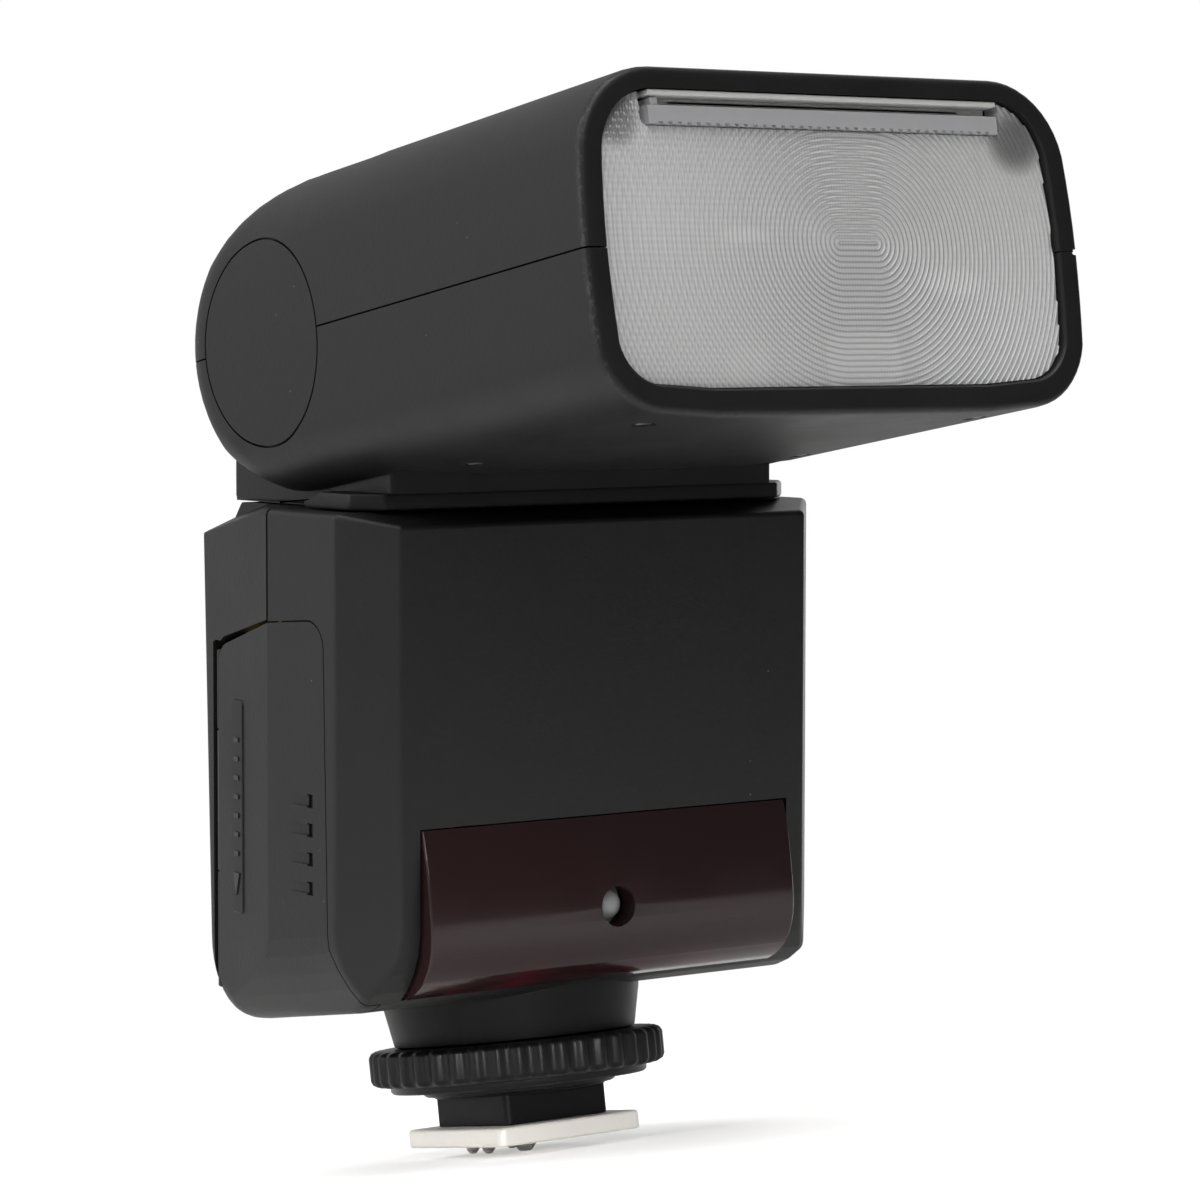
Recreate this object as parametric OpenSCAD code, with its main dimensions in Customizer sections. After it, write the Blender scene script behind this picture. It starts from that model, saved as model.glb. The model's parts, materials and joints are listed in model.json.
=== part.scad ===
// Compact shoe-mount speedlight with a tilting and swivelling head.
// Origin: centre of the underside of the foot plate. +Z up, the lens faces -Y,
// +X is the user's right when standing behind the flash.
// The main body leans forward by body_rake about a line across the neck; the head lies level at rest.

/* [Main body] */
// Forward lean of the main body against the foot, degrees
body_rake = 9.5; // [6:0.5:12]
// Half width of the flat front face
front_half = 26.3; // [25.5:0.1:27]
// Half width across the side facets
side_half = 30.95; // [30.5:0.05:31.5]
// Half width across the rear corners
rear_half = 28.4; // [28:0.1:29]
// Distance from centre to the front face
front_y = 17.4; // [17:0.1:18]
// Distance from centre to the rear face
rear_y = 17.2; // [17:0.1:18]
// Height of the underside of the body
body_z0 = 15.4; // [15.2:0.1:15.6]
// Height of the deck the turret turns on
body_z1 = 69.1; // [69:0.1:69.2]
// Wall of the moulded housings
wall = 1.4; // [1.2:0.1:1.5]

/* [Head] */
// Distance from tilt axis to the front rim
head_len = 57; // [56:0.5:58]
// Half width of the head at its seam
head_half = 31.1; // [31:0.1:31.3]
// Height of the head above its axis
head_up = 17.4; // [17.2:0.1:17.6]
// Depth of the head below its axis
head_down = 16.1; // [16:0.1:16.3]
// Height of the tilt axis, measured in the leaning body
axis_z = 86.2; // [86.1:0.1:86.4]
// Radius of the round rear of the head's cheeks
cheek_r = 16.4; // [16:0.1:16.5]

/* [Foot] */
// Width of the foot plate
plate_w = 18.6; // [18.4:0.1:18.7]
// Length of the foot plate
plate_l = 18; // [17.5:0.1:18.2]
// Thickness of the foot plate
plate_t = 2; // [1.9:0.05:2.05]
// Radius of the fluted lock wheel
wheel_r = 16; // [15:0.1:17]
// Number of flutes round the lock wheel
flutes = 42; // [30:1:48]
// Distance the contact pins stand below the plate
pin_out = 1.3; // [1.1:0.1:1.4]

/* [Batteries] */
// Radius of one cell
cell_r = 7; // [6.9:0.05:7.05]

/* [Hidden] */
$fn = 64;
lean_z = 14;      // height of the line the body leans about
axis_y = 1.3;     // tilt axis and turret centre, in the leaning body
seam_y = 0.4;     // joint between the front and rear housings
seam_gap = 0.05;  // each housing stops this far short of the seam
gap = 0.15;       // clearance round fitted parts
tube_r = 8.98;    // outside of the pivot tube
axle_r = 5;
head_origin = [0, axis_y * cos(body_rake) - (axis_z - lean_z) * sin(body_rake),
               lean_z + axis_y * sin(body_rake) + (axis_z - lean_z) * cos(body_rake)];

housing_black = [0.07, 0.07, 0.075];
mount_black = [0.06, 0.06, 0.065];
part_black = [0.1, 0.1, 0.1];
control_black = [0.12, 0.12, 0.12];
trim_black = [0.05, 0.05, 0.05];
steel = [0.7, 0.7, 0.72];
dull_steel = [0.6, 0.6, 0.62];
rod_steel = [0.75, 0.75, 0.77];
spring_steel = [0.8, 0.8, 0.8];
battery_metal = [0.8, 0.8, 0.78];
contact_metal = [0.85, 0.8, 0.7];

// ---------- outlines ----------
function unit(v) = v / norm(v);
// unit normal on the left of an edge
function left_of(edge) = [-unit(edge).y, unit(edge).x];
// anticlockwise outline moved inwards by depth
function inset(outline, depth) = [for (i = [0:len(outline) - 1])
  let (count = len(outline),
       here = outline[i],
       normal_in = left_of(here - outline[(i + count - 1) % count]),
       normal_out = left_of(outline[(i + 1) % count] - here))
  here + depth * (normal_in + normal_out) / (1 + normal_in * normal_out)];
function arc(centre, radius, start, end, steps) = [for (i = [0:steps])
  let (angle = start + (end - start) * i / steps)
  centre + radius * [cos(angle), sin(angle)]];

// ---------- frames and repeats ----------
// the leaning body's frame
module raked() {
  translate([0, 0, lean_z]) rotate([body_rake, 0, 0]) translate([0, 0, -lean_z]) children();
}
// the head's frame at rest: x across, y forwards from the axis, z up
module at_head() {
  translate(head_origin) mirror([0, 1, 0]) children();
}
// the tilt axis, inside the leaning frame
module at_axis() {
  translate([0, axis_y, axis_z]) children();
}
module both_sides() {
  for (flip = [0, 1]) mirror([flip, 0, 0]) children();
}
module at_xy(places, z = 0) {
  for (place = places) translate([place.x, place.y, z]) children();
}
// places hold x and z
module at_xz(places) {
  for (place = places) translate([place.x, 0, place.y]) children();
}

// ---------- basic shapes ----------
module box(corner, size) {
  translate(corner) cube(size);
}
module cyl_x(radius, x0, x1) {
  translate([x0, 0, 0]) rotate([0, 90, 0]) cylinder(r = radius, h = x1 - x0);
}
module cyl_y(radius, y0, y1) {
  translate([0, y0, 0]) rotate([-90, 0, 0]) cylinder(r = radius, h = y1 - y0);
}
// extrudes an outline of y, z along X
module across(x0, x1) {
  rotate([90, 0, 90]) translate([0, 0, x0]) linear_extrude(height = x1 - x0) children();
}
// extrudes an outline of x, z along Y
module along(y0, y1) {
  translate([0, y1, 0]) rotate([90, 0, 0]) linear_extrude(height = y1 - y0) children();
}
module round_rect(width, height, corner) {
  square([width - 2 * corner, height], center = true);
  square([width, height - 2 * corner], center = true);
  for (x = [-1, 1]) for (y = [-1, 1])
    translate([x * (width / 2 - corner), y * (height / 2 - corner)]) circle(r = corner, $fn = 32);
}
// plate with round corners facing along Y
module plate_y(width, height, corner, y0, y1) {
  along(y0, y1) round_rect(width, height, corner);
}

// ---------- body form ----------
facet_y = -12.15;  // front edge of the side facets
// x, y, anticlockwise from above
body_plan = [
  [-front_half, -front_y], [front_half, -front_y], [side_half, facet_y], [side_half, seam_y],
  [rear_half, rear_y], [-rear_half, rear_y], [-side_half, seam_y], [-side_half, facet_y]];
// y, z
heel_r = 5.5;
body_side = concat(
  [[-front_y, 19.8], [-14.2, 16.3], [-12.2, body_z0]],
  arc([rear_y - heel_r, body_z0 + heel_r], heel_r, -90, 0, 8),
  [[rear_y, body_z1 - 3.1], [14.8, body_z1], [-12.15, body_z1], [-front_y, body_z1 - 1.1]]);

// the body's outer form, moved inwards by depth
module body_form(depth) {
  difference() {
    intersection() {
      translate([0, 0, 5]) linear_extrude(height = 80) polygon(inset(body_plan, depth));
      across(-40, 40) polygon(inset(body_side, depth));
    }
    // bevels on the upper side corners
    both_sides() translate([side_half, seam_y, body_z1])
      rotate([0, 48, 18.95]) box([-50, -50, -depth], [100, 100, 40]);
  }
}

// y, z of the side patch that the battery door fills
door_edge = [[13.0, 10], [13.0, 54.1], [-8.6, 58.1], [-10.1, 56.6], [-10.8, 24.4],
             [-15.0, 19.8], [-15.0, 10]];
door_inner = 26.3;  // distance from centre to the inside of the door opening
// the door patch on the left, grown by grow, reaching in to inner_x from centre
module door_zone(grow, inner_x) {
  intersection() {
    across(-40, -16) polygon(inset(door_edge, -grow));
    box([-40, -20, 5], [40 - inner_x + grow, 40, 60]);
  }
}
// hinge line at the rear edge of the door
barrel_x = -27.9;
barrel_y = 13.0;
knuckle_r = 1.12;
barrel_room_r = 1.35;
module barrel(radius, z0, z1) {
  translate([barrel_x, barrel_y, z0]) cylinder(r = radius, h = z1 - z0);
}

// opening for the ports on the right, and the hinge bead of its cover
port_y0 = 6.5;
port_z0 = 31.6;
port_z1 = 41.6;
flap_x = 28.7;
flap_y = 11.2;
module flap_hinge(radius, z0, z1) {
  translate([flap_x, flap_y, z0]) cylinder(r = radius, h = z1 - z0, $fn = 32);
}

// ---------- places on the body ----------
case_screws = [[26.0, 60.5], [25.4, 23.6], [-10.2, 38.6]];  // x, z
boss_r = 2.2;
boss_end = 16.5;  // bosses reach this far from centre, front and rear
board_hole_r = 2.6;
// screws from the body floor into the foot stem
stem_screw_x = 8;
stem_screw_front = -6.5;
stem_screw_rear = 8.5;
stem_screws = [for (y = [stem_screw_front, stem_screw_rear]) for (x = [-1, 1])
  [x * stem_screw_x, y]];
// x, z of the mode, menu, wireless and test keys
key_places = [[-19.5, 37.4], [19.5, 37.4], [-19.5, 29.4], [19.5, 29.4]];
key_w = 9.6;
key_h = 4.8;
dial_z = 30;
lcd_z = 53.2;
switch_z = 22.6;
window_half = 23.75;
sensor_z = 27.4;
jack_y = 9;
jack_z = 45;

// ---------- housings ----------
// shell and screw bosses between y0 and y1
module housing_half(y0, y1) {
  intersection() {
    difference() {
      body_form(0);
      body_form(wall);
    }
    box([-40, y0, 0], [80, y1 - y0, 90]);
  }
  intersection() {
    at_xz(case_screws) cyl_y(boss_r, max(y0, -boss_end), min(y1, boss_end));
    body_form(0.2);
  }
}
module deck_bore() {
  translate([0, axis_y, 60]) cylinder(r = tube_r + 0.08, h = 20);
}
module stem_screw_holes(y) {
  at_xy([[-stem_screw_x, y], [stem_screw_x, y]]) cylinder(r = 1.15, h = 30, $fn = 32);
}
// openings shared by the rear wall and the panel on it
module control_openings() {
  at_xz(key_places) plate_y(key_w + 2 * gap, key_h + 2 * gap, 1.2, 12, 20);
  translate([0, 0, dial_z]) cyl_y(5.2, 12, 20);
  translate([-19.5, 0, switch_z]) plate_y(9.2, 2.4, 0.6, 12, 20);
}
module front_housing() {
  color(housing_black) raked() difference() {
    housing_half(-40, seam_y - seam_gap);
    door_zone(gap, door_inner);
    // opening behind the red window
    box([-window_half - gap, -25, 10], [2 * (window_half + gap), 12, 26.95]);
    deck_bore();
    at_xz(case_screws) cyl_y(1.0, -13, 5);
    stem_screw_holes(stem_screw_front);
  }
}
module rear_housing() {
  color(housing_black) raked() difference() {
    housing_half(seam_y + seam_gap, seam_y + seam_gap + 40);
    door_zone(gap, door_inner);
    barrel(barrel_room_r, 5, 54.6);
    // rebate that the door's outer face turns into when it stands open
    box([-40, barrel_y + 0.5, 10], [12.3, 0.9, 44.4]);
    deck_bore();
    at_xz(case_screws) {
      cyl_y(1.08, -5, 20);
      cyl_y(2.0, 16.2, 20);
    }
    stem_screw_holes(stem_screw_rear);
    translate([0, 0, lcd_z]) plate_y(39.4, 19.4, 1, 14, 20);
    control_openings();
    // sync jack and port openings on the right
    translate([0, jack_y, jack_z]) cyl_x(2.1, 22, 40);
    box([25, port_y0, port_z0], [10, 5.0, port_z1 - port_z0]);
    flap_hinge(1.05, port_z0, port_z1);
  }
}

// ---------- front fittings ----------
// y, z: up from the foot along the inside, then back along the outside
window_edge = [
  [-17.35, 36.8], [-18.4, 32.6], [-19.1, 27.5], [-19.15, 24.0], [-18.5, 21.0], [-17.0, 18.7],
  [-14.6, 16.75], [-14.3, 17.8], [-15.4, 19.6], [-16.6, 21.7], [-17.1, 24.4], [-17.0, 27.6],
  [-16.4, 32.2], [-16.0, 36.8]];
module red_window() {
  color([0.28, 0.02, 0.03, 0.9]) raked() difference() {
    across(-window_half, window_half) polygon(window_edge);
    translate([0, 0, sensor_z]) cyl_y(2.15, -25, -10);
  }
}
// domed stem with a flange behind the window
module light_sensor() {
  stem_r = 1.7;
  dome_y = -16.6;
  base_y = -13.4;
  color([0.75, 0.76, 0.78]) raked() translate([0, 0, sensor_z]) {
    translate([0, dome_y, 0]) sphere(r = stem_r, $fn = 48);
    cyl_y(stem_r, dome_y, base_y);
    cyl_y(2.6, -15.6, base_y);
  }
}
module assist_lamp() {
  front = -13.6;
  color([0.8, 0.15, 0.12]) raked() translate([12, 0, 27]) {
    cyl_y(3.4, front, -10.4);
    translate([0, front, 0]) sphere(r = 2.2, $fn = 48);
  }
}

// ---------- display and boards ----------
module control_panel() {
  color([0.04, 0.04, 0.045]) raked() difference() {
    translate([0, 0, 42]) plate_y(51, 45.6, 3, rear_y + 0.02, rear_y + 1.2);
    translate([0, 0, lcd_z]) plate_y(38.2, 18.2, 1, 12, 20);
    control_openings();
  }
}
module lcd_window() {
  color([0.3, 0.33, 0.32, 0.6]) raked() translate([0, 0, lcd_z])
    plate_y(38.0, 18.0, 0.9, rear_y - 0.2, rear_y + 1.1);
}
// display glass with a bar along its front face
module lcd_module() {
  color([0.55, 0.6, 0.5]) raked() translate([0, 0, lcd_z]) {
    plate_y(38.6, 18.6, 0.5, 15.3, 16.8);
    box([-12, 14.25, -9], [30, 1.1, 3]);
  }
}
board_x = -11.9;  // left edge of both boards
board_t = 1.2;
module main_board() {
  color([0.05, 0.3, 0.16]) raked() difference() {
    union() {
      box([board_x, 12.9, 19.2], [39, board_t, 45.2]);
      // two chips on the front side
      box([4, 11.1, 44], [9, 1.8, 9]);
      box([15, 11.5, 33], [6, 1.4, 5]);
    }
    translate([0, 0, dial_z]) cyl_y(5.6, 10, 20);
    at_xz(case_screws) cyl_y(board_hole_r, 10, 20);
    at_xz(key_places) plate_y(key_w + 2.2, key_h + 2.2, 1.2, 10, 20);
    // notch for the ports
    box([23, 0, 27], [10, 20, 21]);
  }
}
module power_board() {
  color([0.06, 0.26, 0.15]) raked() difference() {
    box([board_x, -15.2, 39.5], [37.4, board_t, 25]);
    at_xz(case_screws) cyl_y(board_hole_r, -20, 0);
  }
}
// upright can on two leads
module capacitor() {
  lead_h = 3.5;
  color([0.12, 0.12, 0.2]) raked() translate([15.9, -3.6, 27.5]) {
    translate([0, 0, lead_h]) cylinder(r = 7.6, h = 32);
    at_xy([[-2.2, 0], [2.2, 0]]) cylinder(r = 0.45, h = lead_h, $fn = 24);
  }
}
// winding between two flanges
module transformer() {
  color([0.7, 0.55, 0.25]) raked() {
    box([-9, -11.5, 42], [12, 11, 4]);
    box([-9, -11.5, 54], [12, 11, 3]);
    translate([-3, -6, 46]) cylinder(r = 5, h = 8);
  }
}

// ---------- batteries ----------
cell_x = -21.15;
front_cell_y = -7.05;
rear_cell_y = 7.0;
cell_len = 48.6;
nub_h = 1.2;
tray_y = -13.9;
tray_l = 27.0;
contact_z = 16.83;  // underside of the lower contacts
module battery_tray() {
  color(part_black) raked() difference() {
    union() {
      box([-13.7, tray_y, 17.6], [1.1, tray_l, 47.7]);
      for (z = [25, 56]) box([-18.5, tray_y, z], [5.2, tray_l, 2]);
    }
    at_xy([[cell_x, front_cell_y], [cell_x, rear_cell_y]], 10)
      cylinder(r = cell_r + gap, h = 60);
  }
}
// nub up at the front, nub down at the rear
module battery_cells() {
  color([0.75, 0.6, 0.3]) raked() {
    translate([cell_x, front_cell_y, 17.4]) {
      cylinder(r = cell_r, h = cell_len);
      translate([0, 0, cell_len]) cylinder(r = 2.7, h = nub_h);
    }
    translate([cell_x, rear_cell_y, 17.3]) {
      cylinder(r = 2.7, h = nub_h);
      translate([0, 0, nub_h]) cylinder(r = cell_r, h = cell_len);
    }
  }
}
// one strip over both cells, one pad under each
module battery_contacts() {
  color(battery_metal) raked() {
    box([cell_x - 2.8, -11, 67.22], [9, 21.4, 0.35]);
    box([cell_x - 1.4, 4, contact_z], [7.4, 6, 0.45]);
    box([cell_x - 1.4, -10, contact_z], [7.4, 6, 0.2]);
  }
}
module flat_ring(outer, inner, height) {
  difference() {
    cylinder(r = outer, h = height);
    translate([0, 0, -1]) cylinder(r = inner, h = 3);
  }
}
// flat rings under the front cell and over the rear one
module battery_springs() {
  color(battery_metal) raked() {
    translate([cell_x, front_cell_y, 17.05]) flat_ring(3, 2.2, 0.33);
    translate([cell_x, rear_cell_y, 67.12]) flat_ring(3.4, 2.6, 0.09);
  }
}

// ---------- battery door ----------
knuckles_z0 = 17.5;
knuckles_z1 = 53.6;
slider_z0 = 29.9;  // break between the knuckles, for the slider
slider_z1 = 45.1;
module door_knuckle(z0, z1) {
  intersection() {
    barrel(knuckle_r, z0, z1);
    body_form(0.02);
  }
}
module battery_door() {
  color(housing_black) raked() difference() {
    union() {
      intersection() {
        difference() {
          body_form(0.02);
          body_form(1.6);
        }
        door_zone(0, 26.5);
      }
      door_knuckle(knuckles_z0, slider_z0);
      door_knuckle(slider_z1, knuckles_z1);
    }
    barrel(barrel_room_r, slider_z0, slider_z1);
    // bore for the hinge pin
    barrel(0.56, 5, 60);
    // rear edge is trimmed clear of the swing
    difference() {
      box([-40, barrel_y, 5], [20, 5, 60]);
      barrel(knuckle_r, knuckles_z0, knuckles_z1);
    }
    // four finger grooves
    for (i = [0:3]) box([-31.3, -9.2, 30.0 + 3 * i], [0.7, 3.2, 1.2]);
  }
}
module door_slider() {
  z0 = slider_z0 + gap;
  z1 = slider_z1 - gap;
  color(control_black) raked() difference() {
    union() {
      barrel(1.1, z0, z1);
      box([-27.25, 12.5, z0], [0.85, 3.0, z1 - z0]);
    }
    barrel(0.52, 5, 60);
  }
}
module door_hinge_pin() {
  color(steel) raked() barrel(0.5, 18.5, 53.0);
}

// ---------- rear controls ----------
// key with a flange inside the wall
module rear_key(place) {
  at_xz([place]) {
    plate_y(key_w, key_h, 1.1, 14.9, 19.0);
    plate_y(key_w + 1.6, key_h + 1.6, 1.2, 14.5, 15.1);
  }
}
module mode_button() {
  color(part_black) raked() rear_key(key_places[0]);
}
module menu_button() {
  color(part_black) raked() rear_key(key_places[1]);
}
module wireless_button() {
  color(part_black) raked() rear_key(key_places[2]);
}
module test_button() {
  color([0.6, 0.1, 0.08]) raked() rear_key(key_places[3]);
}
// slider at the left of its slot
module power_switch() {
  color(control_black) raked() translate([-21.4, 0, switch_z]) {
    plate_y(4.6, 2.2, 0.5, 14.6, 19.1);
    plate_y(5.4, 3.4, 0.5, 14.6, 15.6);
  }
}
// fluted disc on a hollow stem
module select_dial() {
  color([0.09, 0.09, 0.09]) raked() translate([0, 0, dial_z]) difference() {
    union() {
      cyl_y(10.2, rear_y + 1.35, rear_y + 2.3);
      cyl_y(5.1, 14.6, rear_y + 1.5);
    }
    for (i = [0:35]) rotate([0, i * 10, 0]) translate([10.5, 0, 0]) cyl_y(0.55, 10, 30, $fn = 24);
    cyl_y(4.3, 10, 30);
  }
}
module set_button() {
  color(control_black) raked() translate([0, 0, dial_z]) cyl_y(4.22, 14.9, rear_y + 2.2);
}
module dial_encoder() {
  color([0.3, 0.3, 0.32]) raked() translate([0, 0, dial_z]) cyl_y(5.3, 10.4, 13.9);
}

// ---------- side ports and body screws ----------
module sync_jack() {
  color(part_black) raked() translate([0, jack_y, jack_z]) difference() {
    cyl_x(2.0, 20.6, 29.4);
    cyl_x(1.3, 21.6, 40);
  }
}
module usb_port() {
  color(dull_steel) raked() difference() {
    box([22.4, 7.2, 32.5], [5.6, 3.0, 8.2]);
    box([23.4, 7.6, 32.9], [6, 2.2, 7.4]);
  }
}
// flap flush with the body side, and its hinge bead
module port_cover() {
  y0 = port_y0 + gap;
  z0 = port_z0 + gap;
  z1 = port_z1 - gap;
  color(trim_black) raked() {
    intersection() {
      difference() {
        body_form(0.05);
        body_form(1.3);
      }
      box([25, y0, z0], [10, flap_y - y0, z1 - z0]);
    }
    flap_hinge(0.58, z0, z1);
  }
}
module housing_screws() {
  shank_r = 0.95;
  head_r = 1.9;
  color(dull_steel) raked() {
    at_xz(case_screws) {
      cyl_y(shank_r, -9, 15.9);
      cyl_y(shank_r, 15.8, 16.4);
      cyl_y(head_r, 16.22, rear_y - 0.05);
    }
    at_xy(stem_screws) {
      translate([0, 0, 12.2]) cylinder(r = 1.0, h = 5, $fn = 32);
      translate([0, 0, body_z0 + wall + 0.02]) cylinder(r = head_r, h = 1.1, $fn = 32);
    }
  }
}

// ---------- foot ----------
// x, y of the small pins and of the plate screws
signal_pins = [[-2.6, 3.2], [2.6, 3.2], [-2.6, 6.2], [2.6, 6.2]];
plate_screws = [[-4.9, -4.7], [4.9, -4.7], [-5.35, 4.7], [5.35, 4.7]];
flange_z = 3.0;      // floor of the pockets that hold the pin flanges
wheel_bore_r = 9.4;  // bore of the wheel and the ring round the stem
spring_z = 3.75;
// everything under the leaning body
module below_body() {
  raked() box([-40, -40, -20], [80, 80, 20 + body_z0 - 0.01]);
}
module foot_stem() {
  color(mount_black) difference() {
    union() {
      intersection() {
        translate([0, 0, 11.0]) cylinder(r1 = 13.1, r2 = 13.9, h = 8, $fn = 96);
        below_body();
      }
      intersection() {
        translate([0, 0, 5.2]) cylinder(r = 9.34, h = 7.0);
        below_body();
      }
      box([-6.55, -6.55, plate_t + 0.01], [13.1, 13.1, 4.0]);
      // sleeves round the pins, through the plate
      cylinder(r = 2.26, h = 4);
      at_xy(signal_pins) cylinder(r = 1.27, h = 4, $fn = 48);
    }
    // pin bores and spring pockets
    translate([0, 0, -1]) cylinder(r = 1.35, h = 6);
    translate([0, 0, flange_z]) cylinder(r = 1.75, h = 6.0);
    at_xy(signal_pins, -1) cylinder(r = 0.75, h = 6, $fn = 48);
    at_xy(signal_pins, flange_z) cylinder(r = 1.1, h = 5.6, $fn = 48);
    at_xy(plate_screws) cylinder(r = 0.82, h = 6.4, $fn = 48);
    raked() at_xy(stem_screws, 12.1) cylinder(r = 1.02, h = 9, $fn = 32);
    // wire duct
    translate([0, 0, 8.5]) cylinder(r = 1.5, h = 20);
  }
}
module lock_wheel() {
  color([0.05, 0.05, 0.055]) difference() {
    union() {
      translate([0, 0, 6.95]) cylinder(r = wheel_r, h = 3.95, $fn = 128);
      translate([0, 0, 6.1]) cylinder(r = 13.9, h = 1, $fn = 96);
    }
    for (i = [0:flutes - 1]) rotate([0, 0, i * 360 / flutes])
      translate([wheel_r + 0.45, 0, 5]) cylinder(r = 0.95, h = 7, $fn = 24);
    translate([0, 0, 5]) cylinder(r = wheel_bore_r, h = 8);
  }
}
module clamp_ring() {
  color(mount_black) difference() {
    translate([0, 0, 5.45]) cylinder(r = 10.4, h = 0.6, $fn = 96);
    translate([0, 0, 5]) cylinder(r = wheel_bore_r, h = 2);
  }
}
module foot_plate() {
  color([0.85, 0.82, 0.77]) difference() {
    linear_extrude(height = plate_t) round_rect(plate_w, plate_l, 0.8);
    translate([0, 0, -1]) cylinder(r = 2.3, h = 5);
    at_xy(signal_pins, -1) cylinder(r = 1.3, h = 5, $fn = 48);
    at_xy(plate_screws, -1) {
      cylinder(r = 0.9, h = 5, $fn = 48);
      // countersink
      translate([0, 0, 0.99]) cylinder(r1 = 1.36, r2 = 0.9, h = 0.7, $fn = 48);
    }
  }
}
module foot_screws() {
  color([0.7, 0.7, 0.7]) at_xy(plate_screws) {
    cylinder(r = 0.8, h = 6, $fn = 48);
    translate([0, 0, 0.02]) cylinder(r1 = 1.3, r2 = 0.8, h = 0.6, $fn = 48);
  }
}
// pin with a tapered tip below and a flange on top
module contact(radius, flange_r) {
  tip_h = radius * 0.6;
  translate([0, 0, tip_h - pin_out]) cylinder(r = radius, h = 3.2 + pin_out - tip_h, $fn = 48);
  translate([0, 0, -pin_out]) cylinder(r1 = radius * 0.4, r2 = radius, h = tip_h, $fn = 48);
  translate([0, 0, flange_z + 0.05]) cylinder(r = flange_r, h = 0.6, $fn = 48);
}
module centre_contact() {
  color(contact_metal) contact(1.3, 1.65);
}
module signal_contacts() {
  color(contact_metal) at_xy(signal_pins) contact(0.7, 1.0);
}
// wave spring: thin rings joined by pairs of posts, a quarter turn apart from level to level
module spring(radius, wire, height, levels) {
  pitch = (height - wire) / levels;
  for (i = [0:levels]) translate([0, 0, i * pitch]) {
    difference() {
      cylinder(r = radius, h = wire, $fn = 32);
      translate([0, 0, -1]) cylinder(r = radius - 2 * wire, h = wire + 2, $fn = 32);
    }
    if (i < levels) for (angle = [0, 180]) rotate([0, 0, angle + 90 * (i % 2)])
      box([radius - 1.7 * wire, -wire / 2, wire / 2], [1.4 * wire, wire, pitch]);
  }
}
module centre_spring() {
  color(spring_steel) translate([0, 0, spring_z]) spring(1.5, 0.3, 5.0, 5);
}
module signal_springs() {
  color(spring_steel) at_xy(signal_pins, spring_z) spring(0.95, 0.22, 4.6, 5);
}

// ---------- turret ----------
turret_r = 15.8;      // round top of the yoke
turret_wall = 1.5;
turret_half = 24.9;
turret_front = -13.5;
turret_l = 28.9;
turret_z0 = body_z1 + gap;
plunger_y = -9.4;     // detent plunger, from the tilt axis
// y, z-round block, moved inwards by depth; any inset form runs out through the floor
module turret_form(depth) {
  drop = depth > 0 ? 1 : 0;
  at_axis() cyl_x(turret_r - depth, -turret_half + depth, turret_half - depth);
  box([-turret_half + depth, turret_front + depth, turret_z0 - drop],
      [2 * (turret_half - depth), turret_l - 2 * depth, axis_z - turret_z0 + drop]);
}
module turret_floor() {
  box([-24.8, -13.4, turret_z0], [49.6, 28.7, 1.6]);
}
// low wings either side of the front, cut clear of the head's cheeks
module turret_wings() {
  difference() {
    translate([0, 0, turret_z0]) linear_extrude(height = 1.85)
      polygon([[-25.6, -13.6], [25.6, -13.6], [28.4, -11], [28.4, -2.6],
               [24.9, -2.6], [-24.9, -2.6], [-28.4, -2.6], [-28.4, -11]]);
    at_axis() {
      cyl_x(16.8, -40, -turret_half);
      cyl_x(16.8, turret_half, 40);
    }
  }
}
// holes for the pivot tube and the tilt axles
module turret_bores() {
  translate([0, axis_y, 60]) cylinder(r = tube_r + 0.02, h = 12);
  at_axis() cyl_x(axle_r + 0.02, -30, 30);
}
module turret_base() {
  color(mount_black) raked() difference() {
    union() {
      intersection() {
        union() {
          difference() {
            // the yoke's front face follows the head's clearance arc
            intersection() {
              turret_form(0);
              union() {
                at_axis() cyl_x(turret_r, -30, 30);
                box([-40, turret_front, body_z1], [80, 40, 5.2]);
              }
            }
            turret_form(turret_wall);
          }
          turret_floor();
        }
        box([-40, -40, 60], [80, 43.5, 60]);
      }
      turret_wings();
    }
    turret_bores();
    // bore for the detent plunger
    at_axis() translate([0, plunger_y, 0]) cyl_x(1.3, -30, -20);
  }
}
module turret_rear() {
  color(mount_black) raked() difference() {
    intersection() {
      union() {
        difference() {
          turret_form(0);
          turret_form(turret_wall);
        }
        turret_floor();
      }
      box([-40, 3.6, 60], [80, 43.4, 60]);
    }
    turret_bores();
  }
}
// flanged tube with a groove near its lower end
module pivot_tube() {
  color([0.5, 0.5, 0.52]) raked() translate([0, axis_y, 0]) difference() {
    union() {
      translate([0, 0, 65.4]) cylinder(r = tube_r, h = 7.1);
      translate([0, 0, 71.15]) cylinder(r = 11, h = 1.35);
    }
    translate([0, 0, 60]) cylinder(r = 7.2, h = 20);
    difference() {
      translate([0, 0, 65.9]) cylinder(r = 10, h = 0.9);
      translate([0, 0, 65]) cylinder(r = 8.4, h = 4);
    }
  }
}
// split ring in the tube's groove
module retaining_ring() {
  color(steel) raked() translate([0, axis_y, 65.95]) difference() {
    flat_ring(11.4, 8.45, 0.8);
    box([-1.5, -14, -1], [3, 8, 3]);
  }
}
// hollow axles with a flange at each end
module tilt_axles() {
  inner_x = 22.0;
  outer_x = 29.4;
  color(dull_steel) raked() at_axis() both_sides() difference() {
    union() {
      cyl_x(axle_r, inner_x, outer_x);
      cyl_x(7.4, 28.6, outer_x);
      cyl_x(7.0, inner_x, 23.35);
    }
    cyl_x(3.2, 20, 40);
  }
}
module detent_plunger() {
  color(steel) raked() at_axis() translate([0, plunger_y, 0]) {
    cyl_x(1.24, -25.2, -21);
    cyl_x(1.8, -22.9, -21);
  }
}

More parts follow.
